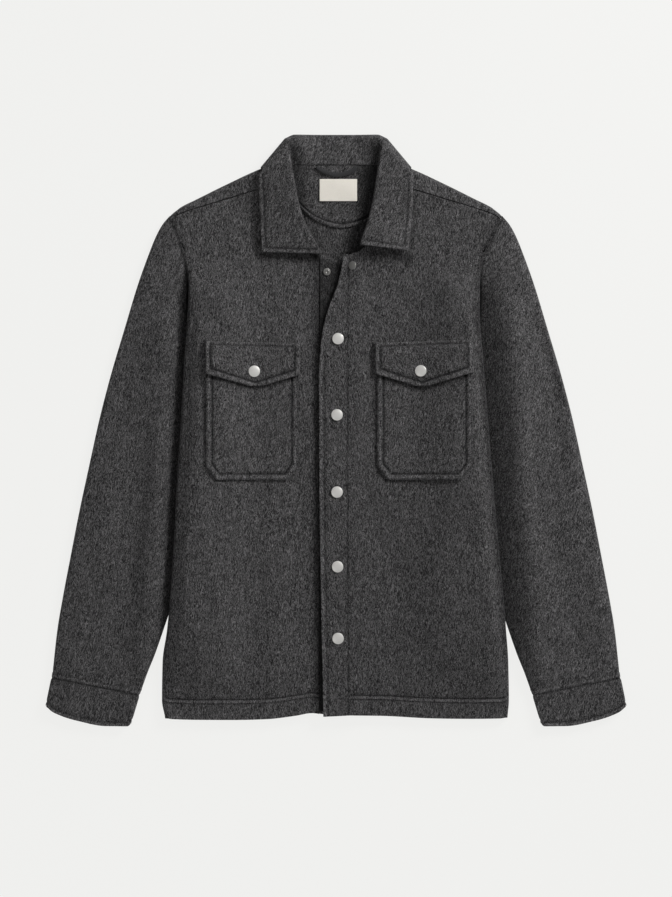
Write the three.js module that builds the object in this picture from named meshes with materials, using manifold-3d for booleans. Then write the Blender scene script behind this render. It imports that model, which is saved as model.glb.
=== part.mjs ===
// A heavy brushed-wool overshirt laid flat on its back, front up, sleeves at its sides.
// Millimetres. +Y runs to the collar, +X to the viewer's right, +Z up from the surface it lies on.
// The origin is the middle of its outline, on that surface.

import * as THREE from 'three';
import Module from 'manifold-3d';

const wasm = await Module();
wasm.setup();

// Cloth, in the layers that lie on each other
const WALL = 2.4; // one layer of the wool
const LAYER_GAP = 2.8; // air between the back and the fronts, and inside a sleeve
const COLLAR_WALL = 3.2; // collar cloth, double
const COLLAR_GAP = 0.6; // between the stand and the leaf folded over it
const BAND_WALL = 3.4; // placket and button stand, double
const CUFF_WALL = 3.0; // cuff, double
const FLAP_WALL = 3.0; // pocket flap, double
const FACING_WALL = 1.6; // neck facing
const LABEL_WALL = 0.8;
const LOOP_WALL = 1.2;
const SEAM = 0.35; // each piece stops this far short of its seam line
const REST = 0.35; // a piece lies this far above what carries it

// Where the body lies over the sleeves and over the collar
const SLEEVE_LIFT = 8; // height of the body's sides above the surface
const LIFT_INNER = 95; // distance from the middle where the cloth starts to climb
const LIFT_OUTER = 155; // distance from the middle where it has climbed the whole height
const LIFT_TOP = 226; // the climb fades out from here...
const LIFT_TOP_FULL = 180; // ...being whole from here down
const LIFT_LOW_FULL = -250; // and whole down to here...
const LIFT_LOW = -345; // ...fading out to the hem
const NECK_LIFT = 3.8; // the back fall of the collar lies under the back
const NECK_LIFT_START = 272;
const NECK_LIFT_FULL = 324;
const NECK_HALF_WIDTH = 106;
const NECK_FADE = 28;

// Body
const FOLD_RADIUS = (WALL + LAYER_GAP) / 2; // middle of the wall round a fold
const FOLD_OUTER = FOLD_RADIUS + WALL / 2;
const SIDE_RETURN = 15; // how far each front turns under to the side seam
const HEM_DEPTH = 22;
const HEM_EXTRA = 1.4; // second layer of the turned hem
const STAND_LEFT = -21.5; // seam of the button stand
const STAND_RIGHT = 14; // its folded edge, under the placket
const PLACKET_LOW = 8.9; // underside of the placket
const PLACKET_CLIMB = 32; // the front climbs to the placket over this width
const NECK_SEAM = 345.2;
const NECK_EDGE = 58; // half width of the neck seam across the back

// Collar
const COLLAR_TOP = 384.2;
const RIGHT_LEAF_LIFT = 4.9; // the right leaf lies over the placket
const LEFT_LEAF_LIFT = 1.3; // the left leaf lies over the button stand
const FALL_WALL_MIDDLE = COLLAR_WALL / 2;
const DIAGONAL = { x: 101.4, y: 337.4, topX: 67.6, topY: 377.7 }; // silhouette where the fall turns to the back

// Snaps
const CAP_RADIUS = 7.5;
const CAP_HEIGHT = 2.2;
const STUD_RADIUS = 4.7;
const STUD_HEIGHT = 2;
const SMALL_CAP_RADIUS = 5.6;

// Body sides, as distances from the middle
const bodySides = [
  { y: -372, left: 222.5, right: 223.2 },
  { y: -350, left: 226.5, right: 225 },
  { y: -300, left: 225.5, right: 224 },
  { y: -260, left: 219.7, right: 221 },
  { y: -220, left: 215.8, right: 218 },
  { y: -142, left: 210.6, right: 210.6 },
  { y: -64, left: 206.7, right: 204 },
  { y: 14, left: 201.5, right: 197.6 },
  { y: 92, left: 197.2, right: 191.5 },
  { y: 150, left: 193, right: 187 },
  { y: 189, left: 191.4, right: 187.2 },
  { y: 222, left: 197, right: 192 },
  { y: 252, left: 205.4, right: 204 },
  { y: 277, left: 216, right: 216 },
];

// Fold along the shoulder, from the neck to the sleeve
const shoulderFold = [
  { x: 0, y: NECK_SEAM },
  { x: NECK_EDGE, y: NECK_SEAM },
  { x: 66, y: 353.5 },
  { x: 82, y: 346.5 },
  { x: 101, y: 338 },
  { x: 117, y: 331 },
  { x: 150, y: 315.3 },
  { x: 181, y: 299.8 },
  { x: 197, y: 292 },
  { x: 209, y: 284 },
  { x: 217, y: 276.5 },
];

// Top edge of a front: the neckline, then the forward shoulder seam from NECK_POINT outwards
const NECK_POINT = 73;
const neckline = [
  { x: 14, y: 228.5 },
  { x: 30, y: 233 },
  { x: 40, y: 242 },
  { x: 54, y: 262 },
  { x: 66, y: 292 },
  { x: 73, y: 320 },
];
const forwardSeam = [
  { x: 60, y: 324.5 },
  { x: 108, y: 310.5 },
  { x: 150, y: 298 },
  { x: 195, y: 284 },
  { x: 208, y: 278.5 },
  { x: 217, y: 270 },
];

// Lower edge of the body, left to right
const hemEdge = [
  { x: -226, y: -371 },
  { x: -215, y: -374.5 },
  { x: -179, y: -375.6 },
  { x: -131, y: -375.8 },
  { x: -92, y: -374.8 },
  { x: -53, y: -370.4 },
  { x: -31, y: -366.8 },
  { x: -17, y: -368.5 },
  { x: 29, y: -369.9 },
  { x: 62, y: -370.5 },
  { x: 129, y: -373.8 },
  { x: 170, y: -374.3 },
  { x: 214, y: -373.8 },
  { x: 226, y: -370.5 },
];

// Placket: its free edge and its seam
const placketEdges = [
  { y: -373, edge: -16.4, seam: 19.5 },
  { y: -64, edge: -21.6, seam: 18.2 },
  { y: 73, edge: -22.1, seam: 18.6 },
  { y: 97, edge: -20.8, seam: 19 },
  { y: 124, edge: -18.2, seam: 20 },
  { y: 141, edge: -14.6, seam: 21.5 },
  { y: 157, edge: -9.9, seam: 23 },
  { y: 174, edge: -4, seam: 26 },
  { y: 188, edge: 1.7, seam: 29.5 },
  { y: 213, edge: 7.5, seam: 34.8 },
  { y: 228, edge: 9.9, seam: 38 },
  { y: 241, edge: 11, seam: 40.8 },
];

// A sleeve, as distances from the middle: outer fold, then the inner fold that runs in under the body
const sleeveOuter = [
  { y: -313, x: 368 },
  { y: -259, x: 362 },
  { y: -220, x: 355.5 },
  { y: -162, x: 344.5 },
  { y: -103, x: 333 },
  { y: -45, x: 320.5 },
  { y: 14, x: 307.5 },
  { y: 72, x: 292.5 },
  { y: 131, x: 275 },
  { y: 189, x: 257.5 },
  { y: 229, x: 243.2 },
  { y: 253, x: 233.4 },
  { y: 268, x: 225 },
  { y: 276.5, x: 218.8 },
];
const sleeveInner = [
  { y: -336.5, x: 252.6 },
  { y: -314, x: 244.5 },
  { y: -293, x: 236 },
  { y: -272, x: 228.5 },
  { y: -246, x: 219.7 },
  { y: -207, x: 205.4 },
  { y: -162, x: 190 },
  { y: -116, x: 178 },
  { y: -71, x: 170.3 },
  { y: -25, x: 165.1 },
  { y: 40, x: 161.2 },
];
// How far the armhole seam runs in under the body's side
const armholeInset = [
  { y: 40, inset: 37 },
  { y: 100, inset: 24 },
  { y: 140, inset: 12 },
  { y: 165, inset: 5 },
  { y: 190, inset: 0 },
  { y: 277, inset: 0 },
];
const ARMHOLE_LOW = 40;
const ARMHOLE_TOP = 276.5;

// Cuff: its free edge across from the outer fold to the inner one
const cuffEnd = [
  { part: 0, x: 377.4, y: -357 },
  { part: 0.1, x: 367, y: -366 },
  { part: 0.38, x: 335.4, y: -377 },
  { part: 0.7, x: 298.2, y: -383.8 },
  { part: 0.94, x: 270.9, y: -384 },
  { part: 1, x: 266, y: -380.6 },
];
const CUFF_OUTER_X = 368.4;
const CUFF_OUTER_Y = -313.6;
const CUFF_INNER_X = 252.8;
const CUFF_INNER_Y = -336.5;

// Collar leaves: free edge, roll line and neck seam under the leaf, from the point upwards
const leafRows = {
  left: [
    { outX: 96.2, outY: 230.8, rollX: 17.5, rollY: 228.8, stand: 9 },
    { outX: 97.2, outY: 250, rollX: 29, rollY: 249, stand: 12 },
    { outX: 98.6, outY: 275, rollX: 41.5, rollY: 274, stand: 15 },
    { outX: 99.8, outY: 303, rollX: 50, rollY: 305, stand: 16 },
    { outX: 100.8, outY: 333, rollX: 55.4, rollY: 336, stand: 15 },
    { outX: 91.5, outY: 341, rollX: 57, rollY: 346, stand: 13 },
    { outX: 74, outY: 357, rollX: 60.5, rollY: 366, stand: 6 },
  ],
  right: [
    { outX: 94.3, outY: 232.7, rollX: 30.4, rollY: 240.6, stand: 9 },
    { outX: 96, outY: 252, rollX: 35, rollY: 255, stand: 12 },
    { outX: 98.2, outY: 277, rollX: 42.3, rollY: 277.6, stand: 15 },
    { outX: 99.7, outY: 303, rollX: 48.5, rollY: 305, stand: 16 },
    { outX: 100.2, outY: 333, rollX: 53, rollY: 336, stand: 15 },
    { outX: 90.5, outY: 341, rollX: 54, rollY: 346, stand: 13 },
    { outX: 72, outY: 357, rollX: 57, rollY: 366, stand: 6 },
  ],
};

// Lower edge of the neck facing
const facingEdge = [
  { x: -62, y: 312 },
  { x: -44, y: 286.7 },
  { x: -20, y: 270 },
  { x: 6, y: 263.3 },
  { x: 38, y: 271 },
  { x: 60, y: 300 },
];

const smooth = (t) => {
  const part = Math.min(1, Math.max(0, t));
  return part * part * (3 - 2 * part);
};
const mix = (from, to, part) => from + (to - from) * part;

// Reads a named column of a table at a place between its rows, along a curve that never overshoots.
function readTable(rows, key, name, at) {
  const last = rows.length - 1;
  if (at <= rows[0][key]) return rows[0][name];
  if (at >= rows[last][key]) return rows[last][name];
  let low = 0;
  while (rows[low + 1][key] < at) low += 1;
  const slope = (row) => (rows[row + 1][name] - rows[row][name]) / (rows[row + 1][key] - rows[row][key]);
  const blend = (first, second) => (first * second > 0 ? (2 * first * second) / (first + second) : 0);
  const here = slope(low);
  const startSlope = low > 0 ? blend(slope(low - 1), here) : here;
  const endSlope = low < last - 1 ? blend(here, slope(low + 1)) : here;
  const span = rows[low + 1][key] - rows[low][key];
  const part = (at - rows[low][key]) / span;
  const rise = smooth(part);
  const startPull = part * (1 - part) * (1 - part) * span * startSlope;
  const endPull = part * part * (part - 1) * span * endSlope;
  return mix(rows[low][name], rows[low + 1][name], rise) + startPull + endPull;
}

const sideEdge = (side, y) => readTable(bodySides, 'y', side < 0 ? 'left' : 'right', y);
const hemAt = (x) => readTable(hemEdge, 'x', 'y', x);
const placketSeam = (y) => readTable(placketEdges, 'y', 'seam', y);
const seamAt = (distance) => readTable(forwardSeam, 'x', 'y', distance);
const frontTopAt = (distance) =>
  distance < NECK_POINT ? readTable(neckline, 'x', 'y', distance) : seamAt(distance);
const placketEdge = (y) => readTable(placketEdges, 'y', 'edge', y);

// Height of the underside of each layer
function sideLift(x, y) {
  const across = smooth((Math.abs(x) - LIFT_INNER) / (LIFT_OUTER - LIFT_INNER));
  const above = smooth((LIFT_TOP - y) / (LIFT_TOP - LIFT_TOP_FULL));
  const below = smooth((y - LIFT_LOW) / (LIFT_LOW_FULL - LIFT_LOW));
  return SLEEVE_LIFT * across * above * below;
}
function neckLift(x, y) {
  const up = smooth((y - NECK_LIFT_START) / (NECK_LIFT_FULL - NECK_LIFT_START));
  return NECK_LIFT * up * (1 - smooth((Math.abs(x) - NECK_HALF_WIDTH) / NECK_FADE));
}
function placketLift(x, y) {
  if (x < 0) return 0;
  const climb = smooth(1 - (x - placketSeam(y)) / PLACKET_CLIMB);
  return (PLACKET_LOW - WALL - LAYER_GAP) * climb * smooth((280 - y) / 40);
}
const backLow = (x, y) => sideLift(x, y) + neckLift(x, y);
const backTop = (x, y) => backLow(x, y) + WALL;
const frontLow = (x, y) => backTop(x, y) + LAYER_GAP + placketLift(x, y);
const frontTop = (x, y) => frontLow(x, y) + WALL;
function collarLow(x, y) {
  const right = RIGHT_LEAF_LIFT * smooth((88 - x) / 34) * smooth((305 - y) / 50);
  const left = LEFT_LEAF_LIFT * smooth((x + 75) / 40);
  return WALL * 2 + LAYER_GAP + 0.9 + neckLift(x, y) + (x > 0 ? right : left);
}

// A closed wall through a grid of middle points, rows by columns, with its own thickness on each side.
// around joins the last column to the first, as on a tube.
function clothWall(grid, below, above, around = false) {
  const rows = grid.length;
  const columns = grid[0].length;
  const amount = (value, row, column) => (typeof value === 'function' ? value(row, column) : value);
  const positions = [];
  const sideways = new THREE.Vector3();
  const along = new THREE.Vector3();
  const normals = grid.map((line, row) =>
    line.map((point, column) => {
      const before = around ? (column + columns - 1) % columns : Math.max(column - 1, 0);
      const after = around ? (column + 1) % columns : Math.min(column + 1, columns - 1);
      sideways.subVectors(line[after], line[before]);
      along.subVectors(grid[Math.min(row + 1, rows - 1)][column], grid[Math.max(row - 1, 0)][column]);
      return new THREE.Vector3().crossVectors(sideways, along).normalize();
    }),
  );
  for (const sign of [1, -1]) {
    grid.forEach((line, row) =>
      line.forEach((point, column) => {
        const reach = sign > 0 ? amount(above, row, column) : -amount(below, row, column);
        const place = point.clone().addScaledVector(normals[row][column], reach);
        positions.push(place.x, place.y, place.z);
      }),
    );
  }
  const index = [];
  const at = (layer, row, column) => layer * rows * columns + row * columns + (column % columns);
  const quad = (a, b, c, d) => index.push(a, b, c, a, c, d);
  const columnSteps = around ? columns : columns - 1;
  for (let row = 0; row < rows - 1; row += 1) {
    for (let column = 0; column < columnSteps; column += 1) {
      quad(at(0, row, column), at(0, row, column + 1), at(0, row + 1, column + 1), at(0, row + 1, column));
      quad(at(1, row, column), at(1, row + 1, column), at(1, row + 1, column + 1), at(1, row, column + 1));
    }
  }
  for (let column = 0; column < columnSteps; column += 1) {
    const top = rows - 1;
    quad(at(0, 0, column), at(1, 0, column), at(1, 0, column + 1), at(0, 0, column + 1));
    quad(at(0, top, column), at(0, top, column + 1), at(1, top, column + 1), at(1, top, column));
  }
  if (!around) {
    const end = columns - 1;
    for (let row = 0; row < rows - 1; row += 1) {
      quad(at(0, row, 0), at(0, row + 1, 0), at(1, row + 1, 0), at(1, row, 0));
      quad(at(0, row, end), at(1, row, end), at(1, row + 1, end), at(0, row + 1, end));
    }
  }
  const geometry = new THREE.BufferGeometry();
  geometry.setAttribute('position', new THREE.BufferAttribute(new Float32Array(positions), 3));
  geometry.setIndex(index);
  if (volumeOf(geometry) < 0) index.reverse();
  geometry.setIndex(index);
  geometry.computeVertexNormals();
  return geometry;
}

function volumeOf(geometry) {
  const position = geometry.getAttribute('position');
  const index = geometry.getIndex();
  const corners = [new THREE.Vector3(), new THREE.Vector3(), new THREE.Vector3()];
  let volume = 0;
  for (let start = 0; start < index.count; start += 3) {
    corners.forEach((corner, step) => corner.fromBufferAttribute(position, index.getX(start + step)));
    volume += corners[0].dot(corners[1].cross(corners[2])) / 6;
  }
  return volume;
}

// Joins overlapping walls into one closed body.
function joinWalls(geometries) {
  const solids = geometries.map((geometry) => {
    const vertProperties = new Float32Array(geometry.getAttribute('position').array);
    const triVerts = new Uint32Array(geometry.getIndex().array);
    return new wasm.Manifold(new wasm.Mesh({ numProp: 3, vertProperties, triVerts }));
  });
  const joined = solids.reduce((whole, solid) => whole.add(solid)).getMesh();
  const geometry = new THREE.BufferGeometry();
  geometry.setAttribute('position', new THREE.BufferAttribute(new Float32Array(joined.vertProperties), 3));
  geometry.setIndex(Array.from(joined.triVerts));
  geometry.computeVertexNormals();
  return geometry;
}

// A flat-lying wall: columns of x, rows of parts between a lower and an upper edge.
function layFlat(xs, parts, lowerAt, upperAt, lowAt, wall) {
  const grid = parts.map((part) =>
    xs.map((x) => {
      const y = mix(lowerAt(x), upperAt(x), part);
      return new THREE.Vector3(x, y, lowAt(x, y) + wall / 2);
    }),
  );
  return clothWall(grid, wall / 2, wall / 2);
}

const evenParts = (count) => Array.from({ length: count + 1 }, (_, step) => step / count);

// Heights above the hem edge, then parts of the way to the top edge
const HEM_ROWS = [0, HEM_DEPTH, HEM_DEPTH + 2.5];
const BODY_PARTS = [0.05, 0.11, 0.18, 0.27, 0.37, 0.48, 0.59, 0.68, 0.75, 0.8, 0.84, 0.88, 0.92, 0.96, 1];
const bodyRows = HEM_ROWS.length + BODY_PARTS.length;
function bodyRowHeight(row, x, topY) {
  const hem = hemAt(x);
  if (row < HEM_ROWS.length) return hem + HEM_ROWS[row];
  return mix(hem + HEM_ROWS[HEM_ROWS.length - 1], topY, BODY_PARTS[row - HEM_ROWS.length]);
}
const LIFT_LINES = [95, 107, 119, 131, 143, 155];

// The side of a front: it turns under round the fold and ends at the side seam.
function foldAngle(y) {
  return mix(20, 180, smooth((LIFT_TOP - y) / (LIFT_TOP - 190)));
}
function sideReturn(y) {
  return mix(0.5, SIDE_RETURN, smooth((182 - y) / 90));
}
function foldInset(y) {
  const angle = THREE.MathUtils.degToRad(Math.min(90, foldAngle(y)));
  return SEAM + FOLD_OUTER * Math.sin(angle) + 0.5 * Math.cos(angle);
}

function makeFront(side) {
  const grid = [];
  for (let row = 0; row < bodyRows; row += 1) {
    const line = [];
    const place = (distanceAt) => {
      let y = bodyRowHeight(row, side * 120, 300);
      for (let pass = 0; pass < 3; pass += 1) {
        const x = side * distanceAt(y);
        y = bodyRowHeight(row, x, frontTopAt(Math.abs(x)) - SEAM);
      }
      const x = side * distanceAt(y);
      line.push(new THREE.Vector3(x, y, frontLow(x, y) + WALL / 2));
    };
    if (side < 0) [-STAND_LEFT + SEAM, 34, 48, 63, 78].forEach((distance) => place(() => distance));
    else [0, 8, 16, 24, 32].forEach((step) => place((y) => placketSeam(y) + SEAM + step));
    if (side > 0) place(() => 78);
    LIFT_LINES.forEach((distance) => place(() => distance));
    const foldStart = (y) => sideEdge(side, y) - foldInset(y);
    place((y) => mix(155, foldStart(y), 0.5));
    place(foldStart);
    const start = line[line.length - 1];
    const angle = THREE.MathUtils.degToRad(foldAngle(start.y));
    for (let step = 1; step <= 4; step += 1) {
      const turn = (angle * step) / 4;
      const x = start.x + side * FOLD_RADIUS * Math.sin(turn);
      line.push(new THREE.Vector3(x, start.y, start.z - FOLD_RADIUS * (1 - Math.cos(turn))));
    }
    const turned = line[line.length - 1];
    for (const part of [0.5, 1]) {
      const run = sideReturn(start.y) * part;
      const x = turned.x + side * Math.cos(angle) * run;
      line.push(new THREE.Vector3(x, start.y, turned.z - Math.sin(angle) * run));
    }
    grid.push(line);
  }
  const flatColumns = grid[0].length - 6;
  const hem = (row, column) => (row < 2 && column < flatColumns ? WALL / 2 + HEM_EXTRA : WALL / 2);
  return clothWall(grid, side < 0 ? hem : WALL / 2, side < 0 ? WALL / 2 : hem);
}

// The back, with its strips over the shoulders to the forward seams
function backInset(y) {
  return mix(SEAM, FOLD_OUTER + 2, smooth((LIFT_TOP + 8 - y) / (LIFT_TOP - 186))) + sideReturn(y) - 0.5;
}
const BACK_EDGE = 214.2;
function makeBack() {
  const half = [0, 30, 57, 62, 78, ...LIFT_LINES, 175, 192, 206, BACK_EDGE];
  const distances = [...half.slice(1).reverse().map((x) => -x), ...half];
  const grid = [];
  const topOf = (x) => {
    const fold = readTable(shoulderFold, 'x', 'y', Math.abs(x));
    return Math.abs(x) < NECK_EDGE ? fold - SEAM - 1.8 : fold - FOLD_OUTER;
  };
  for (let row = 0; row < bodyRows; row += 1) {
    grid.push(
      distances.map((distance) => {
        const side = Math.sign(distance) || 1;
        let y = bodyRowHeight(row, distance, topOf(distance));
        let x = distance;
        for (let pass = 0; pass < 4; pass += 1) {
          const reach = sideEdge(side, y) - backInset(y);
          const part = (Math.abs(distance) - LIFT_OUTER) / (BACK_EDGE - LIFT_OUTER);
          if (part > 0) x = side * mix(LIFT_OUTER, reach, part);
          y = bodyRowHeight(row, x, topOf(x));
        }
        return new THREE.Vector3(x, y, backLow(x, y) + WALL / 2);
      }),
    );
  }
  const ends = grid[grid.length - 1].map((point) => point.clone());
  const strip = ends.map((point) => {
    const distance = Math.abs(point.x);
    const over = distance >= NECK_EDGE;
    const step = 2;
    const ahead = readTable(shoulderFold, 'x', 'y', distance + step);
    const behind = readTable(shoulderFold, 'x', 'y', distance - step);
    const slope = over ? (ahead - behind) / (2 * step) : 0;
    const outward = new THREE.Vector3(-slope * Math.sign(point.x), 1, 0).normalize();
    if (distance > 205) outward.set(0, 1, 0);
    let run = 0.5;
    for (let pass = 0; over && pass < 4; pass += 1) {
      const landing = Math.abs(point.x - outward.x * run);
      run = Math.max(0.3, (point.y - seamAt(landing) - 2.5 * SEAM) / outward.y);
    }
    return { outward, angle: THREE.MathUtils.degToRad(over ? 180 : 20), run };
  });
  for (let step = 1; step <= 5; step += 1) {
    grid.push(
      ends.map((point, column) => {
        const turn = (strip[column].angle * step) / 5;
        const place = point.clone().addScaledVector(strip[column].outward, FOLD_RADIUS * Math.sin(turn));
        place.z += FOLD_RADIUS * (1 - Math.cos(turn));
        return place;
      }),
    );
  }
  const turned = grid[grid.length - 1];
  for (const part of [0.5, 1]) {
    grid.push(
      turned.map((point, column) => {
        const { outward, angle, run } = strip[column];
        const place = point.clone().addScaledVector(outward, Math.cos(angle) * run * part);
        place.z += Math.sin(angle) * run * part + neckLift(place.x, place.y) - neckLift(point.x, point.y);
        return place;
      }),
    );
  }
  const hem = (row) => (row < 2 ? WALL / 2 + HEM_EXTRA : WALL / 2);
  return clothWall(grid, WALL / 2, hem);
}

function makeButtonStand() {
  const xs = [STAND_LEFT + SEAM, -10, 2, STAND_RIGHT];
  const top = (x) => 228.5 - smooth((x - STAND_LEFT) / 30) * 8;
  const low = (x, y) => frontLow(STAND_LEFT, y);
  return layFlat(xs, evenParts(12), (x) => hemAt(x) + 4, top, low, BAND_WALL);
}

function makePlacket() {
  const parts = [0, 0.035, 0.04, 0.2, 0.4, 0.6, 0.74, 0.8, 0.85, 0.88, 0.91, 0.94, 0.97, 1];
  const grid = parts.map((part) =>
    evenParts(5).map((across) => {
      const y = mix(-371.5 + 1.8 * across, 228.5, part);
      const x = mix(placketEdge(y), placketSeam(y) - SEAM, across);
      return new THREE.Vector3(x, y, PLACKET_LOW + BAND_WALL / 2);
    }),
  );
  return clothWall(grid, BAND_WALL / 2, BAND_WALL / 2);
}

// Chest pockets and flaps: columns share the lines at which the front climbs
const pockets = {
  left: { side: -1, near: 48.8, far: 168.4, nearCut: 62.4, farCut: 154.8, top: 103.5, cut: -45.8, low: -64.4 },
  right: { side: 1, near: 53.3, far: 176.8, nearCut: 67.5, farCut: 162, top: 103.5, cut: -45.8, low: -64.4 },
};
function makePocket({ side, near, far, nearCut, farCut, top, cut, low }) {
  const distances = [near, nearCut, 78, ...LIFT_LINES, farCut, far].filter((x, i, all) => x > (all[i - 1] ?? 0));
  const lowerAt = (x) => {
    const distance = Math.abs(x);
    if (distance < nearCut) return mix(cut, low, (distance - near) / (nearCut - near));
    if (distance > farCut) return mix(low, cut, (distance - farCut) / (far - farCut));
    return low;
  };
  const lowAt = (x, y) => frontTop(x, y) + REST;
  const xs = distances.map((distance) => side * distance);
  return layFlat(xs, evenParts(5), lowerAt, () => top, lowAt, WALL);
}

const flaps = {
  left: { side: -1, near: 46.8, far: 168.7, nearY: 72.2, farY: 73.5, tip: 104, tipY: 55.3, nearTop: 113.4, farTop: 115.4 },
  right: { side: 1, near: 51.1, far: 176.8, nearY: 73.5, farY: 74.8, tip: 111.8, tipY: 55.3, nearTop: 113.4, farTop: 117.4 },
};
function makeFlap({ side, near, far, nearY, farY, tip, tipY, nearTop, farTop }) {
  const distances = [near, 62, 78, ...LIFT_LINES, far];
  const lowerAt = (x) => {
    const distance = Math.abs(x);
    if (distance < tip) return mix(nearY, tipY, (distance - near) / (tip - near));
    return mix(tipY, farY, (distance - tip) / (far - tip));
  };
  const upperAt = (x) => mix(nearTop, farTop, (Math.abs(x) - near) / (far - near));
  const lowAt = (x, y) => frontTop(x, y) + REST + (WALL + REST) * smooth((115 - y) / 9);
  const xs = distances.map((distance) => side * distance);
  return layFlat(xs, [0, 0.4, 0.62, 0.8, 0.9, 1], lowerAt, upperAt, lowAt, FLAP_WALL);
}

// A flattened tube over a plan grid, rows along it, columns from its outer to its inner fold
function foldedTube(plan, wall, gap) {
  const radius = (wall + gap) / 2;
  const low = wall / 2;
  const grid = plan.map((line, row) => {
    const next = plan[Math.min(row + 1, plan.length - 1)];
    const before = plan[Math.max(row - 1, 0)];
    const loop = [];
    const bend = (column, sign) => {
      const along = new THREE.Vector3().subVectors(next[column], before[column]);
      const outward = new THREE.Vector3(-along.y, along.x, 0).normalize();
      const other = column === 0 ? line[1] : line[column - 1];
      if (outward.dot(new THREE.Vector3().subVectors(line[column], other)) < 0) outward.negate();
      const centre = line[column].clone().addScaledVector(outward, -radius - wall / 2);
      return [-90, -45, 0, 45, 90].map((degrees) => {
        const turn = THREE.MathUtils.degToRad(degrees * sign);
        const place = centre.clone().addScaledVector(outward, radius * Math.cos(turn));
        place.z = low + radius + radius * Math.sin(turn);
        return place;
      });
    };
    const last = line.length - 1;
    loop.push(...bend(last, 1));
    for (let column = last - 1; column > 0; column -= 1) {
      loop.push(new THREE.Vector3(line[column].x, line[column].y, low + 2 * radius));
    }
    loop.push(...bend(0, -1));
    for (let column = 1; column < last; column += 1) {
      loop.push(new THREE.Vector3(line[column].x, line[column].y, low));
    }
    return loop;
  });
  return clothWall(grid, wall / 2, wall / 2, true);
}

// Points between four edges that meet at their ends
function fillBetween(alongParts, acrossParts, outer, inner, start, end) {
  return alongParts.map((s) =>
    acrossParts.map((w) => {
      const point = new THREE.Vector3();
      point.addScaledVector(outer(s), 1 - w);
      point.addScaledVector(inner(s), w);
      point.addScaledVector(start(w), 1 - s);
      point.addScaledVector(end(w), s);
      point.addScaledVector(start(0), -(1 - s) * (1 - w));
      point.addScaledVector(start(1), -(1 - s) * w);
      point.addScaledVector(end(0), -s * (1 - w));
      point.addScaledVector(end(1), -s * w);
      return point;
    }),
  );
}
const planPoint = (side, distance, y) => new THREE.Vector3(side * distance, y, 0);

function armholeAt(side, part) {
  const y = mix(ARMHOLE_TOP, ARMHOLE_LOW, part);
  const distance = sideEdge(side, y) + 2 * SEAM - readTable(armholeInset, 'y', 'inset', y);
  return { distance, y };
}

function makeSleeve(side) {
  const sleeveStart = CUFF_OUTER_Y + SEAM;
  const outer = (s) => {
    const y = mix(sleeveStart, ARMHOLE_TOP, s);
    return planPoint(side, readTable(sleeveOuter, 'y', 'x', y), y);
  };
  const inner = (s) => {
    const y = mix(CUFF_INNER_Y + SEAM, ARMHOLE_LOW, s);
    return planPoint(side, readTable(sleeveInner, 'y', 'x', y), y);
  };
  const start = (w) => outer(0).lerp(inner(0), w);
  const corner = outer(1);
  const end = (w) => {
    if (w === 0) return corner;
    const { distance, y } = armholeAt(side, w);
    return w === 1 ? inner(1) : planPoint(side, distance, y);
  };
  const alongParts = [0, 0.05, 0.12, 0.2, 0.29, 0.38, 0.47, 0.56, 0.65, 0.74, 0.82, 0.88, 0.93, 0.97, 1];
  const acrossParts = [0, 0.05, 0.12, 0.22, 0.34, 0.5, 0.7, 0.88, 1];
  return foldedTube(fillBetween(alongParts, acrossParts, outer, inner, start, end), WALL, LAYER_GAP);
}

function makeCuff(side) {
  const outer = (s) => planPoint(side, mix(CUFF_OUTER_X, 377.4, s), mix(CUFF_OUTER_Y - SEAM, -357, s));
  const inner = (s) => planPoint(side, mix(CUFF_INNER_X, 266, s), mix(CUFF_INNER_Y - SEAM, -380.6, s));
  const start = (w) => outer(0).lerp(inner(0), w);
  const end = (w) => {
    const x = readTable(cuffEnd, 'part', 'x', w);
    return planPoint(side, x, readTable(cuffEnd, 'part', 'y', w));
  };
  const plan = fillBetween([0, 0.3, 0.65, 1], [0, 0.06, 0.14, 0.26, 0.4, 0.55, 0.7, 0.85, 1], outer, inner, start, end);
  return foldedTube(plan, CUFF_WALL, LAYER_GAP - (CUFF_WALL - WALL));
}

// Collar: a leaf rolled over its stand, one on each side
const ROLL_RADIUS = (COLLAR_WALL + COLLAR_GAP) / 2;
const ROLL_OUTER = ROLL_RADIUS + COLLAR_WALL / 2;
const leafMiddle = (x, y) => collarLow(x, y) + COLLAR_WALL + COLLAR_GAP + COLLAR_WALL / 2;
function makeLeaf(side) {
  const rows = side < 0 ? leafRows.left : leafRows.right;
  const grid = rows.map((row) => {
    const out = planPoint(side, row.outX, row.outY);
    const roll = planPoint(side, row.rollX, row.rollY);
    const inward = new THREE.Vector3().subVectors(roll, out).normalize();
    const turnStart = roll.clone().addScaledVector(inward, -ROLL_OUTER);
    const line = evenParts(5).map((part) => {
      const place = out.clone().lerp(turnStart, part);
      place.z = leafMiddle(place.x, place.y);
      return place;
    });
    const top = line[line.length - 1].z;
    for (let step = 1; step <= 5; step += 1) {
      const turn = (Math.PI * step) / 5;
      const place = turnStart.clone().addScaledVector(inward, ROLL_RADIUS * Math.sin(turn));
      place.z = top - ROLL_RADIUS * (1 - Math.cos(turn));
      line.push(place);
    }
    for (const part of [0.5, 1]) {
      const place = turnStart.clone().addScaledVector(inward, -row.stand * part);
      place.z = Math.max(top - 2 * ROLL_RADIUS, collarLow(place.x, place.y) + COLLAR_WALL / 2);
      line.push(place);
    }
    return line;
  });
  return clothWall(grid, COLLAR_WALL / 2, COLLAR_WALL / 2);
}

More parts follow.
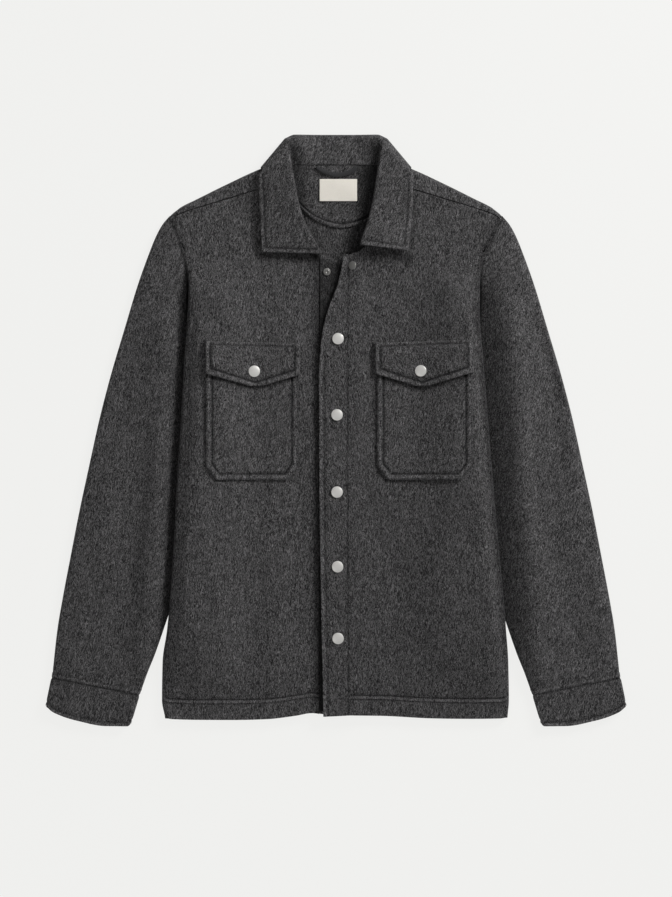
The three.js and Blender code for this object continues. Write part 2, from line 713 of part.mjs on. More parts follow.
// The fall turns from the leaf to the back along the diagonal of the shoulder
function makeShoulderTurn(side) {
  const top = leafMiddle(side * 90, 345);
  const radius = (top - FALL_WALL_MIDDLE) / 2;
  const edgeLow = planPoint(side, DIAGONAL.x, DIAGONAL.y);
  const edgeHigh = planPoint(side, DIAGONAL.topX, DIAGONAL.topY);
  const along = new THREE.Vector3().subVectors(edgeHigh, edgeLow).normalize();
  const outward = new THREE.Vector3(-along.y, along.x, 0);
  if (outward.x * side < 0) outward.negate();
  const grid = [0.22, 0.42, 0.65, 0.88, 1.06].map((part) => {
    const centre = edgeLow.clone().lerp(edgeHigh, part).addScaledVector(outward, -radius - COLLAR_WALL / 2);
    const line = [];
    line.push(centre.clone().addScaledVector(outward, -9).setZ(FALL_WALL_MIDDLE));
    for (let step = 0; step <= 8; step += 1) {
      const turn = -Math.PI / 2 + (Math.PI * step) / 8;
      const place = centre.clone().addScaledVector(outward, radius * Math.cos(turn));
      place.z = FALL_WALL_MIDDLE + radius + radius * Math.sin(turn);
      line.push(place);
    }
    line.push(centre.clone().addScaledVector(outward, -5).setZ(top));
    return line;
  });
  return clothWall(grid, COLLAR_WALL / 2, COLLAR_WALL / 2);
}

// The fall behind the neck, flat on the surface
function makeBackFall() {
  const xs = [-94.5, -86, -76, -66, -58, -40, -20, 0, 20, 40, 58, 66, 76, 86, 94.5];
  const lowerAt = (x) => 328 + 2.5 * smooth((Math.abs(x) - 30) / 64);
  const upperAt = (x) => Math.min(374, mix(331.6, 371.6, (94.5 - Math.abs(x)) / 34));
  return layFlat(xs, evenParts(3), lowerAt, upperAt, () => 0, COLLAR_WALL);
}

// The stand behind the neck: up from the neck seam, over the top edge, and down into the fall
function makeBackStand() {
  const half = [0, 22, 33, 44, 54, 62.5];
  const xs = [...half.slice(1).reverse().map((x) => -x), ...half];
  const centreMiddle = NECK_LIFT + COLLAR_WALL / 2;
  const cornerMiddle = collarLow(-60, 350) + COLLAR_WALL / 2;
  const grid = xs.map((x) => {
    const distance = Math.abs(x);
    const middle = mix(centreMiddle, cornerMiddle, smooth((distance - 22) / 34));
    const radius = (middle - FALL_WALL_MIDDLE) / 2;
    const topEdge = COLLAR_TOP - 3.4 * smooth((distance - 54) / 10);
    const axis = topEdge - radius - COLLAR_WALL / 2;
    const line = [new THREE.Vector3(x, axis - 10, FALL_WALL_MIDDLE)];
    for (let step = 0; step <= 6; step += 1) {
      const turn = (Math.PI * step) / 6;
      const z = FALL_WALL_MIDDLE + radius * (1 - Math.cos(turn));
      line.push(new THREE.Vector3(x, axis + radius * Math.sin(turn), z));
    }
    for (const part of [0.5, 1]) {
      line.push(new THREE.Vector3(x, mix(axis, NECK_SEAM + SEAM, part), middle));
    }
    return line;
  });
  return clothWall(grid, COLLAR_WALL / 2, COLLAR_WALL / 2);
}

function makeCollar() {
  const walls = [makeBackStand(), makeBackFall()];
  [-1, 1].forEach((side) => walls.push(makeLeaf(side), makeShoulderTurn(side)));
  return joinWalls(walls);
}

const FACING_REST = 0.6;
const facingTop = (x, y) => backTop(x, y) + FACING_REST + FACING_WALL;
function makeFacing() {
  const xs = [-55, -44, -32, -20, -7, 6, 17, 28, 38, 47, 55];
  const lowerAt = (x) => readTable(facingEdge, 'x', 'y', x);
  const lowAt = (x, y) => facingTop(x, y) - FACING_WALL;
  return layFlat(xs, evenParts(7), lowerAt, () => NECK_SEAM - 1, lowAt, FACING_WALL);
}

function makeLabel() {
  const lowAt = (x, y) => facingTop(x, y) + REST + 0.15;
  return layFlat([-21.3, 3, 27.3], evenParts(4), () => 297.7, () => 326.2, lowAt, LABEL_WALL);
}

function makeHangerLoop() {
  const half = 26;
  const centre = 1.3;
  const width = 6;
  const grid = evenParts(10).map((part) => {
    const x = mix(-half, half, part);
    const sag = 9 * (1 - (x / half) ** 2);
    return [-0.5, 0, 0.5].map((across) => {
      const y = NECK_SEAM - 4.5 - sag + width * across;
      return new THREE.Vector3(x + centre, y, facingTop(x, y) + REST + 0.5 + LOOP_WALL / 2);
    });
  });
  return clothWall(grid, LOOP_WALL / 2, LOOP_WALL / 2);
}

// A domed cap with a rolled rim, standing on z = 0
function makeCap(radius, height) {
  const profile = [
    [0, 0],
    [radius * 0.93, 0],
    [radius, height * 0.3],
    [radius * 0.95, height * 0.75],
    [radius * 0.8, height * 0.92],
    [0, height],
  ].map(([across, up]) => new THREE.Vector2(across, up));
  return new THREE.LatheGeometry(profile, 14).rotateX(Math.PI / 2);
}

// A stud: a round base with a raised ring in its middle
function makeStud() {
  const profile = [
    [0, 0],
    [STUD_RADIUS, 0],
    [STUD_RADIUS, STUD_HEIGHT * 0.4],
    [STUD_RADIUS * 0.6, STUD_HEIGHT * 0.5],
    [STUD_RADIUS * 0.5, STUD_HEIGHT],
    [STUD_RADIUS * 0.3, STUD_HEIGHT],
    [STUD_RADIUS * 0.25, STUD_HEIGHT * 0.5],
    [0, STUD_HEIGHT * 0.5],
  ].map(([across, up]) => new THREE.Vector2(across, up));
  return new THREE.LatheGeometry(profile, 12).rotateX(Math.PI / 2);
}

const wool = () => new THREE.MeshStandardMaterial({ color: 0x3b3a3b, roughness: 0.95, metalness: 0 });
const collarWool = () => new THREE.MeshStandardMaterial({ color: 0x414041, roughness: 0.95, metalness: 0 });
const facingCloth = () => new THREE.MeshStandardMaterial({ color: 0x383637, roughness: 0.95, metalness: 0 });
const paleTape = () => new THREE.MeshStandardMaterial({ color: 0xdfd7cb, roughness: 0.85, metalness: 0 });
const satinMetal = () => new THREE.MeshStandardMaterial({ color: 0xc9c2b8, roughness: 0.35, metalness: 1 });

const shacket = new THREE.Group();
function sewOn(name, geometry, material) {
  const mesh = new THREE.Mesh(geometry, material);
  mesh.name = name;
  shacket.add(mesh);
  return mesh;
}

sewOn('back', makeBack(), wool());
sewOn('front_right', makeFront(-1), wool());
sewOn('front_left', makeFront(1), wool());
sewOn('button_stand', makeButtonStand(), wool());
sewOn('placket', makePlacket(), wool());
sewOn('sleeve_right', makeSleeve(-1), wool());
sewOn('sleeve_left', makeSleeve(1), wool());
sewOn('cuff_right', makeCuff(-1), wool());
sewOn('cuff_left', makeCuff(1), wool());
sewOn('pocket_right', makePocket(pockets.left), wool());
sewOn('pocket_left', makePocket(pockets.right), wool());
sewOn('flap_right', makeFlap(flaps.left), wool());
sewOn('flap_left', makeFlap(flaps.right), wool());
sewOn('collar', makeCollar(), collarWool());
sewOn('neck_facing', makeFacing(), facingCloth());
sewOn('neck_label', makeLabel(), paleTape());
sewOn('hanger_loop', makeHangerLoop(), facingCloth());

// Snap caps down the placket
const placketSnaps = [
  { x: 2.6, y: 119 },
  { x: 1.3, y: 20.2 },
  { x: 1.3, y: -80 },
  { x: 2, y: -176.8 },
  { x: 2.6, y: -269.8 },
];
const placketTop = PLACKET_LOW + BAND_WALL;
placketSnaps.forEach(({ x, y }, order) => {
  const cap = sewOn(`snap_${order + 1}`, makeCap(CAP_RADIUS, CAP_HEIGHT), satinMetal());
  cap.position.set(x, y, placketTop + REST);
});
const collarCap = sewOn('snap_collar', makeCap(SMALL_CAP_RADIUS, CAP_HEIGHT), satinMetal());
collarCap.position.set(21.6, 213.9, placketTop + REST);

// Snap caps on the flaps, and the stud in the neck
const flapSnaps = [
  { name: 'snap_flap_right', x: -106, y: 76.7 },
  { name: 'snap_flap_left', x: 109.9, y: 77.2 },
];
flapSnaps.forEach(({ name, x, y }) => {
  const cap = sewOn(name, makeCap(CAP_RADIUS, CAP_HEIGHT), satinMetal());
  const carried = frontTop(Math.abs(x) + CAP_RADIUS, y) + 2 * REST + WALL + FLAP_WALL;
  cap.position.set(x, y, carried + REST);
});
const stud = sewOn('stud', makeStud(), satinMetal());
stud.position.set(-11.7, 206, frontLow(STAND_LEFT, 206) + BAND_WALL + REST);

export default shacket;
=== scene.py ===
import math
import bpy
import bmesh
import numpy as np
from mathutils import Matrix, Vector


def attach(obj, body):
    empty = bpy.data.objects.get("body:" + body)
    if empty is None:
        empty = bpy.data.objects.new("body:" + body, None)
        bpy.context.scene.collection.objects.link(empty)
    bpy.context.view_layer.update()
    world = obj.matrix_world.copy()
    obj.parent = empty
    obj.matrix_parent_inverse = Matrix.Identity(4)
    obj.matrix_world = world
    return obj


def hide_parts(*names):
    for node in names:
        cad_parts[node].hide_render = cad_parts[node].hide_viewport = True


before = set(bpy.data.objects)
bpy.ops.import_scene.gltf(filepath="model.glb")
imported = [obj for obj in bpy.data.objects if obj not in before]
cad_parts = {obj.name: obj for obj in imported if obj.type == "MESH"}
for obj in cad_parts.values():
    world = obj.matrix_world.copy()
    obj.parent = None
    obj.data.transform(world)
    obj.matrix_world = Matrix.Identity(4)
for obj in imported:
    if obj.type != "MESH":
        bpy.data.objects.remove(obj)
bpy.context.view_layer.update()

MM = 0.001

# The place the shirt jacket lies
# A plain pale floor, wide soft light from the collar end and the right, and a camera
# straight above it, as in the photograph.
FRAME_HEIGHT = 1.1661
CAMERA_HEIGHT = 5.0
CAMERA_Y = -0.0234
SENSOR = 36.0
FLOOR_SIZE = 60.0
FLOOR_ALBEDO = (0.08, 0.08, 0.079, 1)
FLOOR_GLOW = (0.822, 0.822, 0.808, 1)
FLOOR_DROP = 0.0004
ROOM_LIGHT = 0.27

camera_data = bpy.data.cameras.new("camera")
camera_data.lens = SENSOR * CAMERA_HEIGHT / FRAME_HEIGHT
camera_data.sensor_width = SENSOR
camera_data.clip_end = 40
camera = bpy.data.objects.new("camera", camera_data)
camera.location = (0, CAMERA_Y, CAMERA_HEIGHT)
bpy.context.scene.collection.objects.link(camera)
bpy.context.scene.camera = camera


def new_material(name):
    material = bpy.data.materials.new(name)
    material.use_nodes = True
    nodes = material.node_tree.nodes
    nodes.clear()
    output = nodes.new("ShaderNodeOutputMaterial")
    shader = nodes.new("ShaderNodeBsdfPrincipled")
    material.node_tree.links.new(shader.outputs["BSDF"], output.inputs["Surface"])
    return material, nodes, material.node_tree.links, shader


floor_mesh = bpy.data.meshes.new("floor")
half_floor = FLOOR_SIZE / 2
floor_mesh.from_pydata(
    [(x * half_floor, y * half_floor, 0) for x, y in ((-1, -1), (1, -1), (1, 1), (-1, 1))],
    [],
    [(0, 1, 2, 3)],
)
floor = bpy.data.objects.new("floor", floor_mesh)
floor.location.z = -FLOOR_DROP
bpy.context.scene.collection.objects.link(floor)
floor_material, _, _, floor_shader = new_material("pale floor")
floor_shader.inputs["Base Color"].default_value = FLOOR_ALBEDO
floor_shader.inputs["Roughness"].default_value = 0.95
floor_shader.inputs["Specular IOR Level"].default_value = 0.0
floor_shader.inputs["Emission Color"].default_value = FLOOR_GLOW
floor_shader.inputs["Emission Strength"].default_value = 1.0
floor_mesh.materials.append(floor_material)

world = bpy.data.worlds.new("soft room")
world.use_nodes = True
world.node_tree.nodes["Background"].inputs["Color"].default_value = (1, 1, 1, 1)
world.node_tree.nodes["Background"].inputs["Strength"].default_value = ROOM_LIGHT
bpy.context.scene.world = world
bpy.context.scene.view_settings.view_transform = "Standard"


def add_softbox(name, place, target, size, power):
    data = bpy.data.lights.new(name, "AREA")
    data.shape = "SQUARE"
    data.size = size
    data.energy = power
    light = bpy.data.objects.new(name, data)
    light.location = place
    light.rotation_euler = (Vector(target) - Vector(place)).to_track_quat("-Z", "Y").to_euler()
    bpy.context.scene.collection.objects.link(light)


add_softbox("key from the upper right", (1.9, 1.65, 1.25), (0, 0, 0), 0.9, 66)
add_softbox("fill from the hem end", (-1.5, -1.4, 2.4), (0, 0, 0), 1.6, 9)

# Back
# One piece of heavy brushed wool melange, 2.4 mm thick, that lies on the surface. It climbs over the
# sleeves at its sides and over the collar at the neck, and wraps the shoulders to the forward seams.
WALL = 2.4
LAYER_GAP = 2.8
SEAM = 0.35
REST = 0.35
FOLD_RADIUS = (WALL + LAYER_GAP) / 2
FOLD_OUTER = FOLD_RADIUS + WALL / 2
SLEEVE_LIFT = 8
LIFT_INNER, LIFT_OUTER = 95, 155
LIFT_TOP, LIFT_TOP_FULL = 226, 180
LIFT_LOW_FULL, LIFT_LOW = -250, -345
NECK_LIFT = 3.8
NECK_LIFT_START, NECK_LIFT_FULL = 272, 324
NECK_HALF_WIDTH, NECK_FADE = 106, 28
NECK_SEAM = 345.2
NECK_EDGE = 58
SIDE_RETURN = 15
LEAST_SHEET_SIDE = 0.0101
BACK_EDGE = 214.2
HEM_EXTRA = 1.2
HEM_STITCHES = (20.5, 26.0)
HEM_ROWS = (0, 1, 4, 8, 12, 16, 18.5, 19.6, 20.5, 21.4, 22.6, 23.8, 25.1, 26, 26.9, 28.5, 31)

BODY_SIDES = {
    "y": (-372, -350, -300, -260, -220, -142, -64, 14, 92, 150, 189, 222, 252, 277),
    "left": (222.5, 226.5, 225.5, 219.7, 215.8, 210.6, 206.7, 201.5, 197.2, 193, 191.4, 197, 205.4, 216),
    "right": (223.2, 225, 224, 221, 218, 210.6, 204, 197.6, 191.5, 187, 187.2, 192, 204, 216),
}
SHOULDER_FOLD = {
    "x": (0, 58, 66, 82, 101, 117, 150, 181, 197, 209, 217),
    "y": (345.2, 345.2, 353.5, 346.5, 338, 331, 315.3, 299.8, 292, 284, 276.5),
}
FORWARD_SEAM = {"x": (60, 108, 150, 195, 208, 217), "y": (324.5, 310.5, 298, 284, 278.5, 270)}
HEM_EDGE = {
    "x": (-226, -215, -179, -131, -92, -53, -31, -17, 29, 62, 129, 170, 214, 226),
    "y": (
        -371, -374.5, -375.6, -375.8, -374.8, -370.4, -366.8,
        -368.5, -369.9, -370.5, -373.8, -374.3, -373.8, -370.5,
    ),
}
PLACKET_EDGES = {
    "y": (-373, -64, 73, 97, 124, 141, 157, 174, 188, 213, 228, 241),
    "edge": (-16.4, -21.6, -22.1, -20.8, -18.2, -14.6, -9.9, -4, 1.7, 7.5, 9.9, 11),
    "seam": (19.5, 18.2, 18.4, 18.4, 18.4, 18.5, 18.6, 18.8, 19.2, 20, 20.8, 21.5),
}
PLACKET_LOW = 8.9
PLACKET_CLIMB = 32

FOLD_DEPTH = 1.5
SIDE_SWELL = 7.5
# Painted shade kept in the wool's colour, as a share added to it, in the crease where the body meets the
# sleeves
PAINTED_CREASE_SHADE = -0.55
# Soft folds of the body: from one end to the other, half width, and height (below nought for a trough)
BODY_FOLDS = (
    (-188, 172, -128, 92, 13, -1.5),
    (-170, 182, -112, 130, 11, 1.2),
    (-176, 40, -184, -150, 15, 1.3),
    (-160, 10, -158, -160, 12, -1.0),
    (-152, -110, -128, -345, 20, -1.7),
    (-98, -120, -84, -352, 18, 1.6),
    (-52, -60, -60, -300, 15, -1.1),
    (-196, -190, -178, -352, 13, 1.5),
    (-70, 210, -150, 262, 17, 1.2),
    (-40, 190, -90, 128, 13, -0.9),
    (184, 168, 132, 100, 12, -1.5),
    (168, 186, 108, 140, 12, 1.3),
    (178, 60, 186, -130, 14, 1.4),
    (158, -90, 140, -340, 19, -1.6),
    (104, -80, 96, -350, 20, 1.7),
    (122, 200, 124, -170, 22, -1.6),
    (62, -110, 66, -345, 13, -1.2),
    (202, -180, 190, -352, 12, 1.4),
    (80, 218, 158, 262, 18, 1.1),
    (52, 196, 104, 134, 13, -1.0),
    (30, -260, 60, -340, 12, 1.0),
)


def smooth(t):
    part = np.clip(t, 0, 1)
    return part * part * (3 - 2 * part)


def mix(start, end, part):
    return start + (end - start) * part


def read_table(table, key, name, at):
    keys = np.array(table[key], float)
    values = np.array(table[name], float)
    span = np.diff(keys)
    slope = np.diff(values) / span
    tangent = np.empty(len(keys))
    tangent[0], tangent[-1] = slope[0], slope[-1]
    same = slope[:-1] * slope[1:] > 0
    both = np.where(same, slope[:-1] + slope[1:], 1)
    tangent[1:-1] = np.where(same, 2 * slope[:-1] * slope[1:] / both, 0)
    at = np.clip(np.asarray(at, float), keys[0], keys[-1])
    row = np.clip(np.searchsorted(keys, at, side="right") - 1, 0, len(span) - 1)
    t = (at - keys[row]) / span[row]
    rise = smooth(t)
    pull = t * (1 - t) ** 2 * tangent[row] + t * t * (t - 1) * tangent[row + 1]
    return mix(values[row], values[row + 1], rise) + pull * span[row]


def side_edge(side, y):
    return read_table(BODY_SIDES, "y", "left" if side < 0 else "right", y)


def hem_at(x):
    return read_table(HEM_EDGE, "x", "y", x)


def seam_at(distance):
    return read_table(FORWARD_SEAM, "x", "y", distance)


def placket_seam(y):
    return read_table(PLACKET_EDGES, "y", "seam", y)


def placket_edge(y):
    return read_table(PLACKET_EDGES, "y", "edge", y)


def folds_at(table, x, y):
    height = np.zeros(np.broadcast(x, y).shape)
    for x0, y0, x1, y1, width, rise in table:
        along = np.array((x1 - x0, y1 - y0), float)
        length = np.hypot(*along)
        along /= length
        run = (x - x0) * along[0] + (y - y0) * along[1]
        bow = 0.06 * length * np.sin(np.pi * np.clip(run / length, 0, 1))
        off = (x - x0) * -along[1] + (y - y0) * along[0] - bow
        ends = smooth((run + 0.15 * length) / (0.4 * length)) * smooth((1.15 * length - run) / (0.4 * length))
        height += rise * ends * np.exp(-((off / width) ** 2))
    return height


def side_lift(x, y):
    across = smooth((np.abs(x) - LIFT_INNER) / (LIFT_OUTER - LIFT_INNER))
    above = smooth((LIFT_TOP - y) / (LIFT_TOP - LIFT_TOP_FULL))
    below = smooth((y - LIFT_LOW) / (LIFT_LOW_FULL - LIFT_LOW))
    return SLEEVE_LIFT * across * above * below


def neck_lift(x, y):
    up = smooth((y - NECK_LIFT_START) / (NECK_LIFT_FULL - NECK_LIFT_START))
    return NECK_LIFT * up * (1 - smooth((np.abs(x) - NECK_HALF_WIDTH) / NECK_FADE))


def placket_lift(x, y):
    climb = smooth(1 - (x - placket_seam(y)) / PLACKET_CLIMB) * smooth((280 - y) / 40)
    return np.where(x < 0, 0, (PLACKET_LOW - WALL - LAYER_GAP) * climb)


def back_low(x, y):
    return side_lift(x, y) + neck_lift(x, y)


def back_top(x, y):
    return back_low(x, y) + WALL


def body_folds(x, y):
    """Soft folds, and the round swell of the body before it turns under at its sides."""
    reach = np.where(x < 0, side_edge(-1, y), side_edge(1, y)) - np.abs(x)
    inside = smooth((reach - 3) / 25) * smooth((285 - y) / 30)
    swell = smooth((np.abs(x) - 105) / 55) * smooth((reach - 3) / 18)
    swell = swell * smooth((215 - y) / 90) * smooth((y + 365) / 60)
    return FOLD_DEPTH * folds_at(BODY_FOLDS, x, y) * inside + SIDE_SWELL * swell


def front_low(x, y):
    return back_top(x, y) + LAYER_GAP + placket_lift(x, y) + body_folds(x, y)


def front_top(x, y):
    return front_low(x, y) + WALL


def row_heights(x, top_y, steps):
    """Heights of the rows of a body panel: close together at the hem, then even up to its top edge."""
    hem = hem_at(x)
    low = [hem + height for height in HEM_ROWS]
    start = hem + HEM_ROWS[-1]
    return np.array(low + [mix(start, top_y, part) for part in np.linspace(0, 1, steps + 1)[1:]])


def fold_angle(y):
    return np.radians(mix(20, 180, smooth((LIFT_TOP - y) / (LIFT_TOP - 190))))


def side_return(y):
    return mix(0.5, SIDE_RETURN, smooth((182 - y) / 90))


def fold_inset(y):
    angle = np.minimum(fold_angle(y), np.pi / 2)
    return SEAM + FOLD_OUTER * np.sin(angle) + 0.5 * np.cos(angle)


def back_inset(y):
    reach = smooth((LIFT_TOP + 8 - y) / (LIFT_TOP - 186))
    return mix(SEAM, FOLD_OUTER + 2, reach) + side_return(y) - 0.5


def shade_points(mesh, shade):
    """Keeps on each point the light and shade painted into the wool's colour: darker in painted shade and
    pressed seams, lighter in painted highlights on ridges.
    """
    layer = mesh.attributes.new("painted_light_and_pressed_seams", "FLOAT", "POINT")
    layer.data.foreach_set("value", np.asarray(shade, np.float32).ravel())


cuts = {}


def measure_cut(grid, around):
    """Width, length and area in metres of the cloth that a grid of middle points holds, laid out flat.
    A panel's width is counted across only and its length up and down. Rows that double back, as the
    last four of the back do beside the neck, count in full, so the back's width comes out too large."""
    ring = np.concatenate([grid, grid[:, :1]], axis=1) if around else grid
    steps_across, steps_along = np.diff(ring, axis=1), np.diff(ring, axis=0)
    if not around:
        steps_across[..., 1] = 0
        steps_along[..., 0] = 0
    across = np.linalg.norm(steps_across, axis=2).sum(axis=1).max()
    along = np.linalg.norm(steps_along, axis=2).sum(axis=0).max()
    near, far = ring[:-1, :-1], ring[1:, 1:]
    halves = [
        np.cross(ring[:-1, 1:] - near, ring[1:, :-1] - near),
        np.cross(ring[1:, :-1] - far, ring[:-1, 1:] - far),
    ]
    area = sum(np.linalg.norm(half, axis=2).sum() for half in halves) / 2
    return across * MM, along * MM, area * MM * MM


def cloth_mesh(name, grid, below, above, around=False, rim=0.8, shade=0.0):
    """A closed wall of cloth through a grid of middle points in millimetres, rows by columns by 3,
    with its own thickness on each side and its rim rounded. around closes a tube."""
    cuts[name] = measure_cut(grid, around)
    rows, columns = grid.shape[:2]
    if around:
        sideways = np.roll(grid, -1, 1) - np.roll(grid, 1, 1)
    else:
        sideways = np.gradient(grid, axis=1)
    normal = np.cross(sideways, np.gradient(grid, axis=0))
    normal /= np.linalg.norm(normal, axis=2, keepdims=True)
    outer = grid + normal * np.broadcast_to(above, (rows, columns))[..., None]
    inner = grid - normal * np.broadcast_to(below, (rows, columns))[..., None]
    places = np.concatenate([outer.reshape(-1, 3), inner.reshape(-1, 3)]) * MM
    places[:, 2] = np.maximum(places[:, 2], 0)
    number = np.arange(2 * rows * columns).reshape(2, rows, columns)
    if around:
        number = np.concatenate([number, number[:, :, :1]], axis=2)
    top, low = number
    quads = [
        np.stack([top[:-1, :-1], top[:-1, 1:], top[1:, 1:], top[1:, :-1]], -1).reshape(-1, 4),
        np.stack([low[:-1, :-1], low[1:, :-1], low[1:, 1:], low[:-1, 1:]], -1).reshape(-1, 4),
        np.stack([top[0, :-1], low[0, :-1], low[0, 1:], top[0, 1:]], -1),
        np.stack([top[-1, :-1], top[-1, 1:], low[-1, 1:], low[-1, :-1]], -1),
    ]
    if not around:
        quads.append(np.stack([top[:-1, 0], top[1:, 0], low[1:, 0], low[:-1, 0]], -1))
        quads.append(np.stack([top[:-1, -1], low[:-1, -1], low[1:, -1], top[1:, -1]], -1))
    mesh = bpy.data.meshes.new(name)
    mesh.from_pydata(places.tolist(), [], np.concatenate(quads).tolist())
    both_sides = np.broadcast_to(shade, (rows, columns))
    shade_points(mesh, np.stack([both_sides, both_sides]))
    shape = bmesh.new()
    shape.from_mesh(mesh)
    if shape.calc_volume(signed=True) < 0:
        bmesh.ops.reverse_faces(shape, faces=shape.faces)
    if rim:
        sharp = [edge for edge in shape.edges if edge.calc_face_angle(0) > math.radians(55)]
        bmesh.ops.bevel(
            shape, geom=sharp, offset=rim * MM, offset_type="OFFSET", segments=2, profile=0.6,
            affect="EDGES", clamp_overlap=True,
        )
    for face in shape.faces:
        face.smooth = True
    shape.to_mesh(mesh)
    shape.free()
    piece = bpy.data.objects.new(name, mesh)
    bpy.context.scene.collection.objects.link(piece)
    return piece


def build_wool_group():
    """Brushed melange: dark and light fibres lying along the nap, in soft patches."""
    group = bpy.data.node_groups.new("Brushed Melange", "ShaderNodeTree")
    face = group.interface
    for name, kind, value in (
        ("Dark", "NodeSocketColor", (0.02, 0.02, 0.02, 1)),
        ("Middle", "NodeSocketColor", (0.04, 0.04, 0.04, 1)),
        ("Light", "NodeSocketColor", (0.12, 0.12, 0.12, 1)),
        ("Nap Angle", "NodeSocketFloat", 0.0),
        ("Fibre Scale", "NodeSocketFloat", 300.0),
        ("Patch Scale", "NodeSocketFloat", 38.0),
    ):
        socket = face.new_socket(name, in_out="INPUT", socket_type=kind)
        socket.default_value = value
    face.new_socket("Color", in_out="OUTPUT", socket_type="NodeSocketColor")
    face.new_socket("Height", in_out="OUTPUT", socket_type="NodeSocketFloat")
    nodes, links = group.nodes, group.links
    given = nodes.new("NodeGroupInput")
    made = nodes.new("NodeGroupOutput")
    place = nodes.new("ShaderNodeTexCoord")
    turn = nodes.new("ShaderNodeVectorRotate")
    turn.rotation_type = "Z_AXIS"
    links.new(place.outputs["Object"], turn.inputs["Vector"])
    links.new(given.outputs["Nap Angle"], turn.inputs["Angle"])

    def streaks(squeeze, scale_factor, detail, distortion):
        squeezed = nodes.new("ShaderNodeVectorMath")
        squeezed.operation = "MULTIPLY"
        squeezed.inputs[1].default_value = (1, squeeze, 1)
        links.new(turn.outputs["Vector"], squeezed.inputs[0])
        factor = nodes.new("ShaderNodeMath")
        factor.operation = "MULTIPLY"
        factor.inputs[1].default_value = scale_factor
        links.new(given.outputs["Fibre Scale"], factor.inputs[0])
        noise = nodes.new("ShaderNodeTexNoise")
        noise.inputs["Detail"].default_value = detail
        noise.inputs["Roughness"].default_value = 0.65
        noise.inputs["Distortion"].default_value = distortion
        links.new(squeezed.outputs[0], noise.inputs["Vector"])
        links.new(factor.outputs[0], noise.inputs["Scale"])
        return noise.outputs["Fac"]

    def spread(value, low, high):
        stretch = nodes.new("ShaderNodeMapRange")
        stretch.inputs["From Min"].default_value = low
        stretch.inputs["From Max"].default_value = high
        links.new(value, stretch.inputs["Value"])
        return stretch.outputs["Result"]

    def blend(kind, first, second, amount):
        node = nodes.new("ShaderNodeMath")
        node.operation = kind
        links.new(first, node.inputs[0])
        if second is None:
            node.inputs[1].default_value = amount
        else:
            links.new(second, node.inputs[1])
        return node.outputs[0]

    tufts = spread(streaks(0.46, 1.05, 5, 1.2), 0.35, 0.65)
    fibres = spread(streaks(0.26, 1.9, 4, 2.4), 0.46, 0.66)
    patch = nodes.new("ShaderNodeTexNoise")
    patch.inputs["Detail"].default_value = 3
    links.new(turn.outputs["Vector"], patch.inputs["Vector"])
    links.new(given.outputs["Patch Scale"], patch.inputs["Scale"])
    patches = spread(patch.outputs["Fac"], 0.25, 0.75)
    tone = blend("ADD", blend("MULTIPLY", tufts, None, 0.66), blend("MULTIPLY", patches, None, 0.4), 0)
    ground = nodes.new("ShaderNodeMix")
    ground.data_type = "RGBA"
    links.new(tone, ground.inputs["Factor"])
    links.new(given.outputs["Dark"], ground.inputs["A"])
    links.new(given.outputs["Middle"], ground.inputs["B"])
    strands = nodes.new("ShaderNodeMix")
    strands.data_type = "RGBA"
    links.new(blend("MULTIPLY", fibres, None, 0.85), strands.inputs["Factor"])
    links.new(ground.outputs["Result"], strands.inputs["A"])
    links.new(given.outputs["Light"], strands.inputs["B"])
    # The wool's colour is scaled by the light and shade painted on each point: painted shade below one,
    # painted highlights above
    painted_shading = nodes.new("ShaderNodeAttribute")
    painted_shading.attribute_name = "painted_light_and_pressed_seams"
    factor = nodes.new("ShaderNodeMath")
    factor.inputs[1].default_value = 1.0
    links.new(painted_shading.outputs["Fac"], factor.inputs[0])
    scaled = nodes.new("ShaderNodeVectorMath")
    scaled.operation = "SCALE"
    links.new(strands.outputs["Result"], scaled.inputs[0])
    links.new(factor.outputs[0], scaled.inputs["Scale"])
    links.new(scaled.outputs["Vector"], made.inputs["Color"])
    height = blend("ADD", blend("MULTIPLY", tufts, None, 0.6), blend("MULTIPLY", fibres, None, 0.4), 0)
    links.new(height, made.inputs["Height"])
    return group


wool_group = build_wool_group()


def wool_material(name, tone, nap_angle, bump=0.55):
    """Brushed wool in a lighter or darker tone, its nap lying at an angle to the length of the piece."""
    material, nodes, links, shader = new_material(name)
    wool = nodes.new("ShaderNodeGroup")
    wool.node_tree = wool_group
    for socket, grey in (("Dark", 0.003), ("Middle", 0.036), ("Light", 0.27)):
        wool.inputs[socket].default_value = (grey * tone * 1.01, grey * tone * 0.985, grey * tone, 1)
    wool.inputs["Nap Angle"].default_value = nap_angle
    relief = nodes.new("ShaderNodeBump")
    relief.inputs["Strength"].default_value = bump
    relief.inputs["Distance"].default_value = 0.0011
    links.new(wool.outputs["Height"], relief.inputs["Height"])
    links.new(relief.outputs["Normal"], shader.inputs["Normal"])
    links.new(wool.outputs["Color"], shader.inputs["Base Color"])
    shader.inputs["Roughness"].default_value = 0.95
    shader.inputs["Specular IOR Level"].default_value = 0.12
    shader.inputs["Sheen Weight"].default_value = 0.09
    shader.inputs["Sheen Roughness"].default_value = 0.5
    shader.inputs["Sheen Tint"].default_value = (0.75, 0.75, 0.78, 1)
    return material


def declare_cloth(piece, material, node, flat=None):
    """Gives a cloth piece its material, hangs it on the root and hides the part that it stands for. It works
    out the flat size of its cut but uses it no further.
    """
    if material.name not in piece.data.materials:
        piece.data.materials.append(material)
    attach(piece, "root")
    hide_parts(node)
    across, along, area = cuts[piece.name]
    if flat is None:
        flat = (max(across, LEAST_SHEET_SIDE), max(along, LEAST_SHEET_SIDE))


body_wool = wool_material("charcoal wool, body", 1.0, 0.06)

back_distances = np.concatenate([
    np.arange(0, 54, 6), (57, 60, 64), np.arange(69, 156, 6), np.linspace(158, BACK_EDGE, 12),
])
back_distances = np.concatenate([-back_distances[:0:-1], back_distances])
back_sides = np.sign(back_distances)
back_reach = np.abs(back_distances)


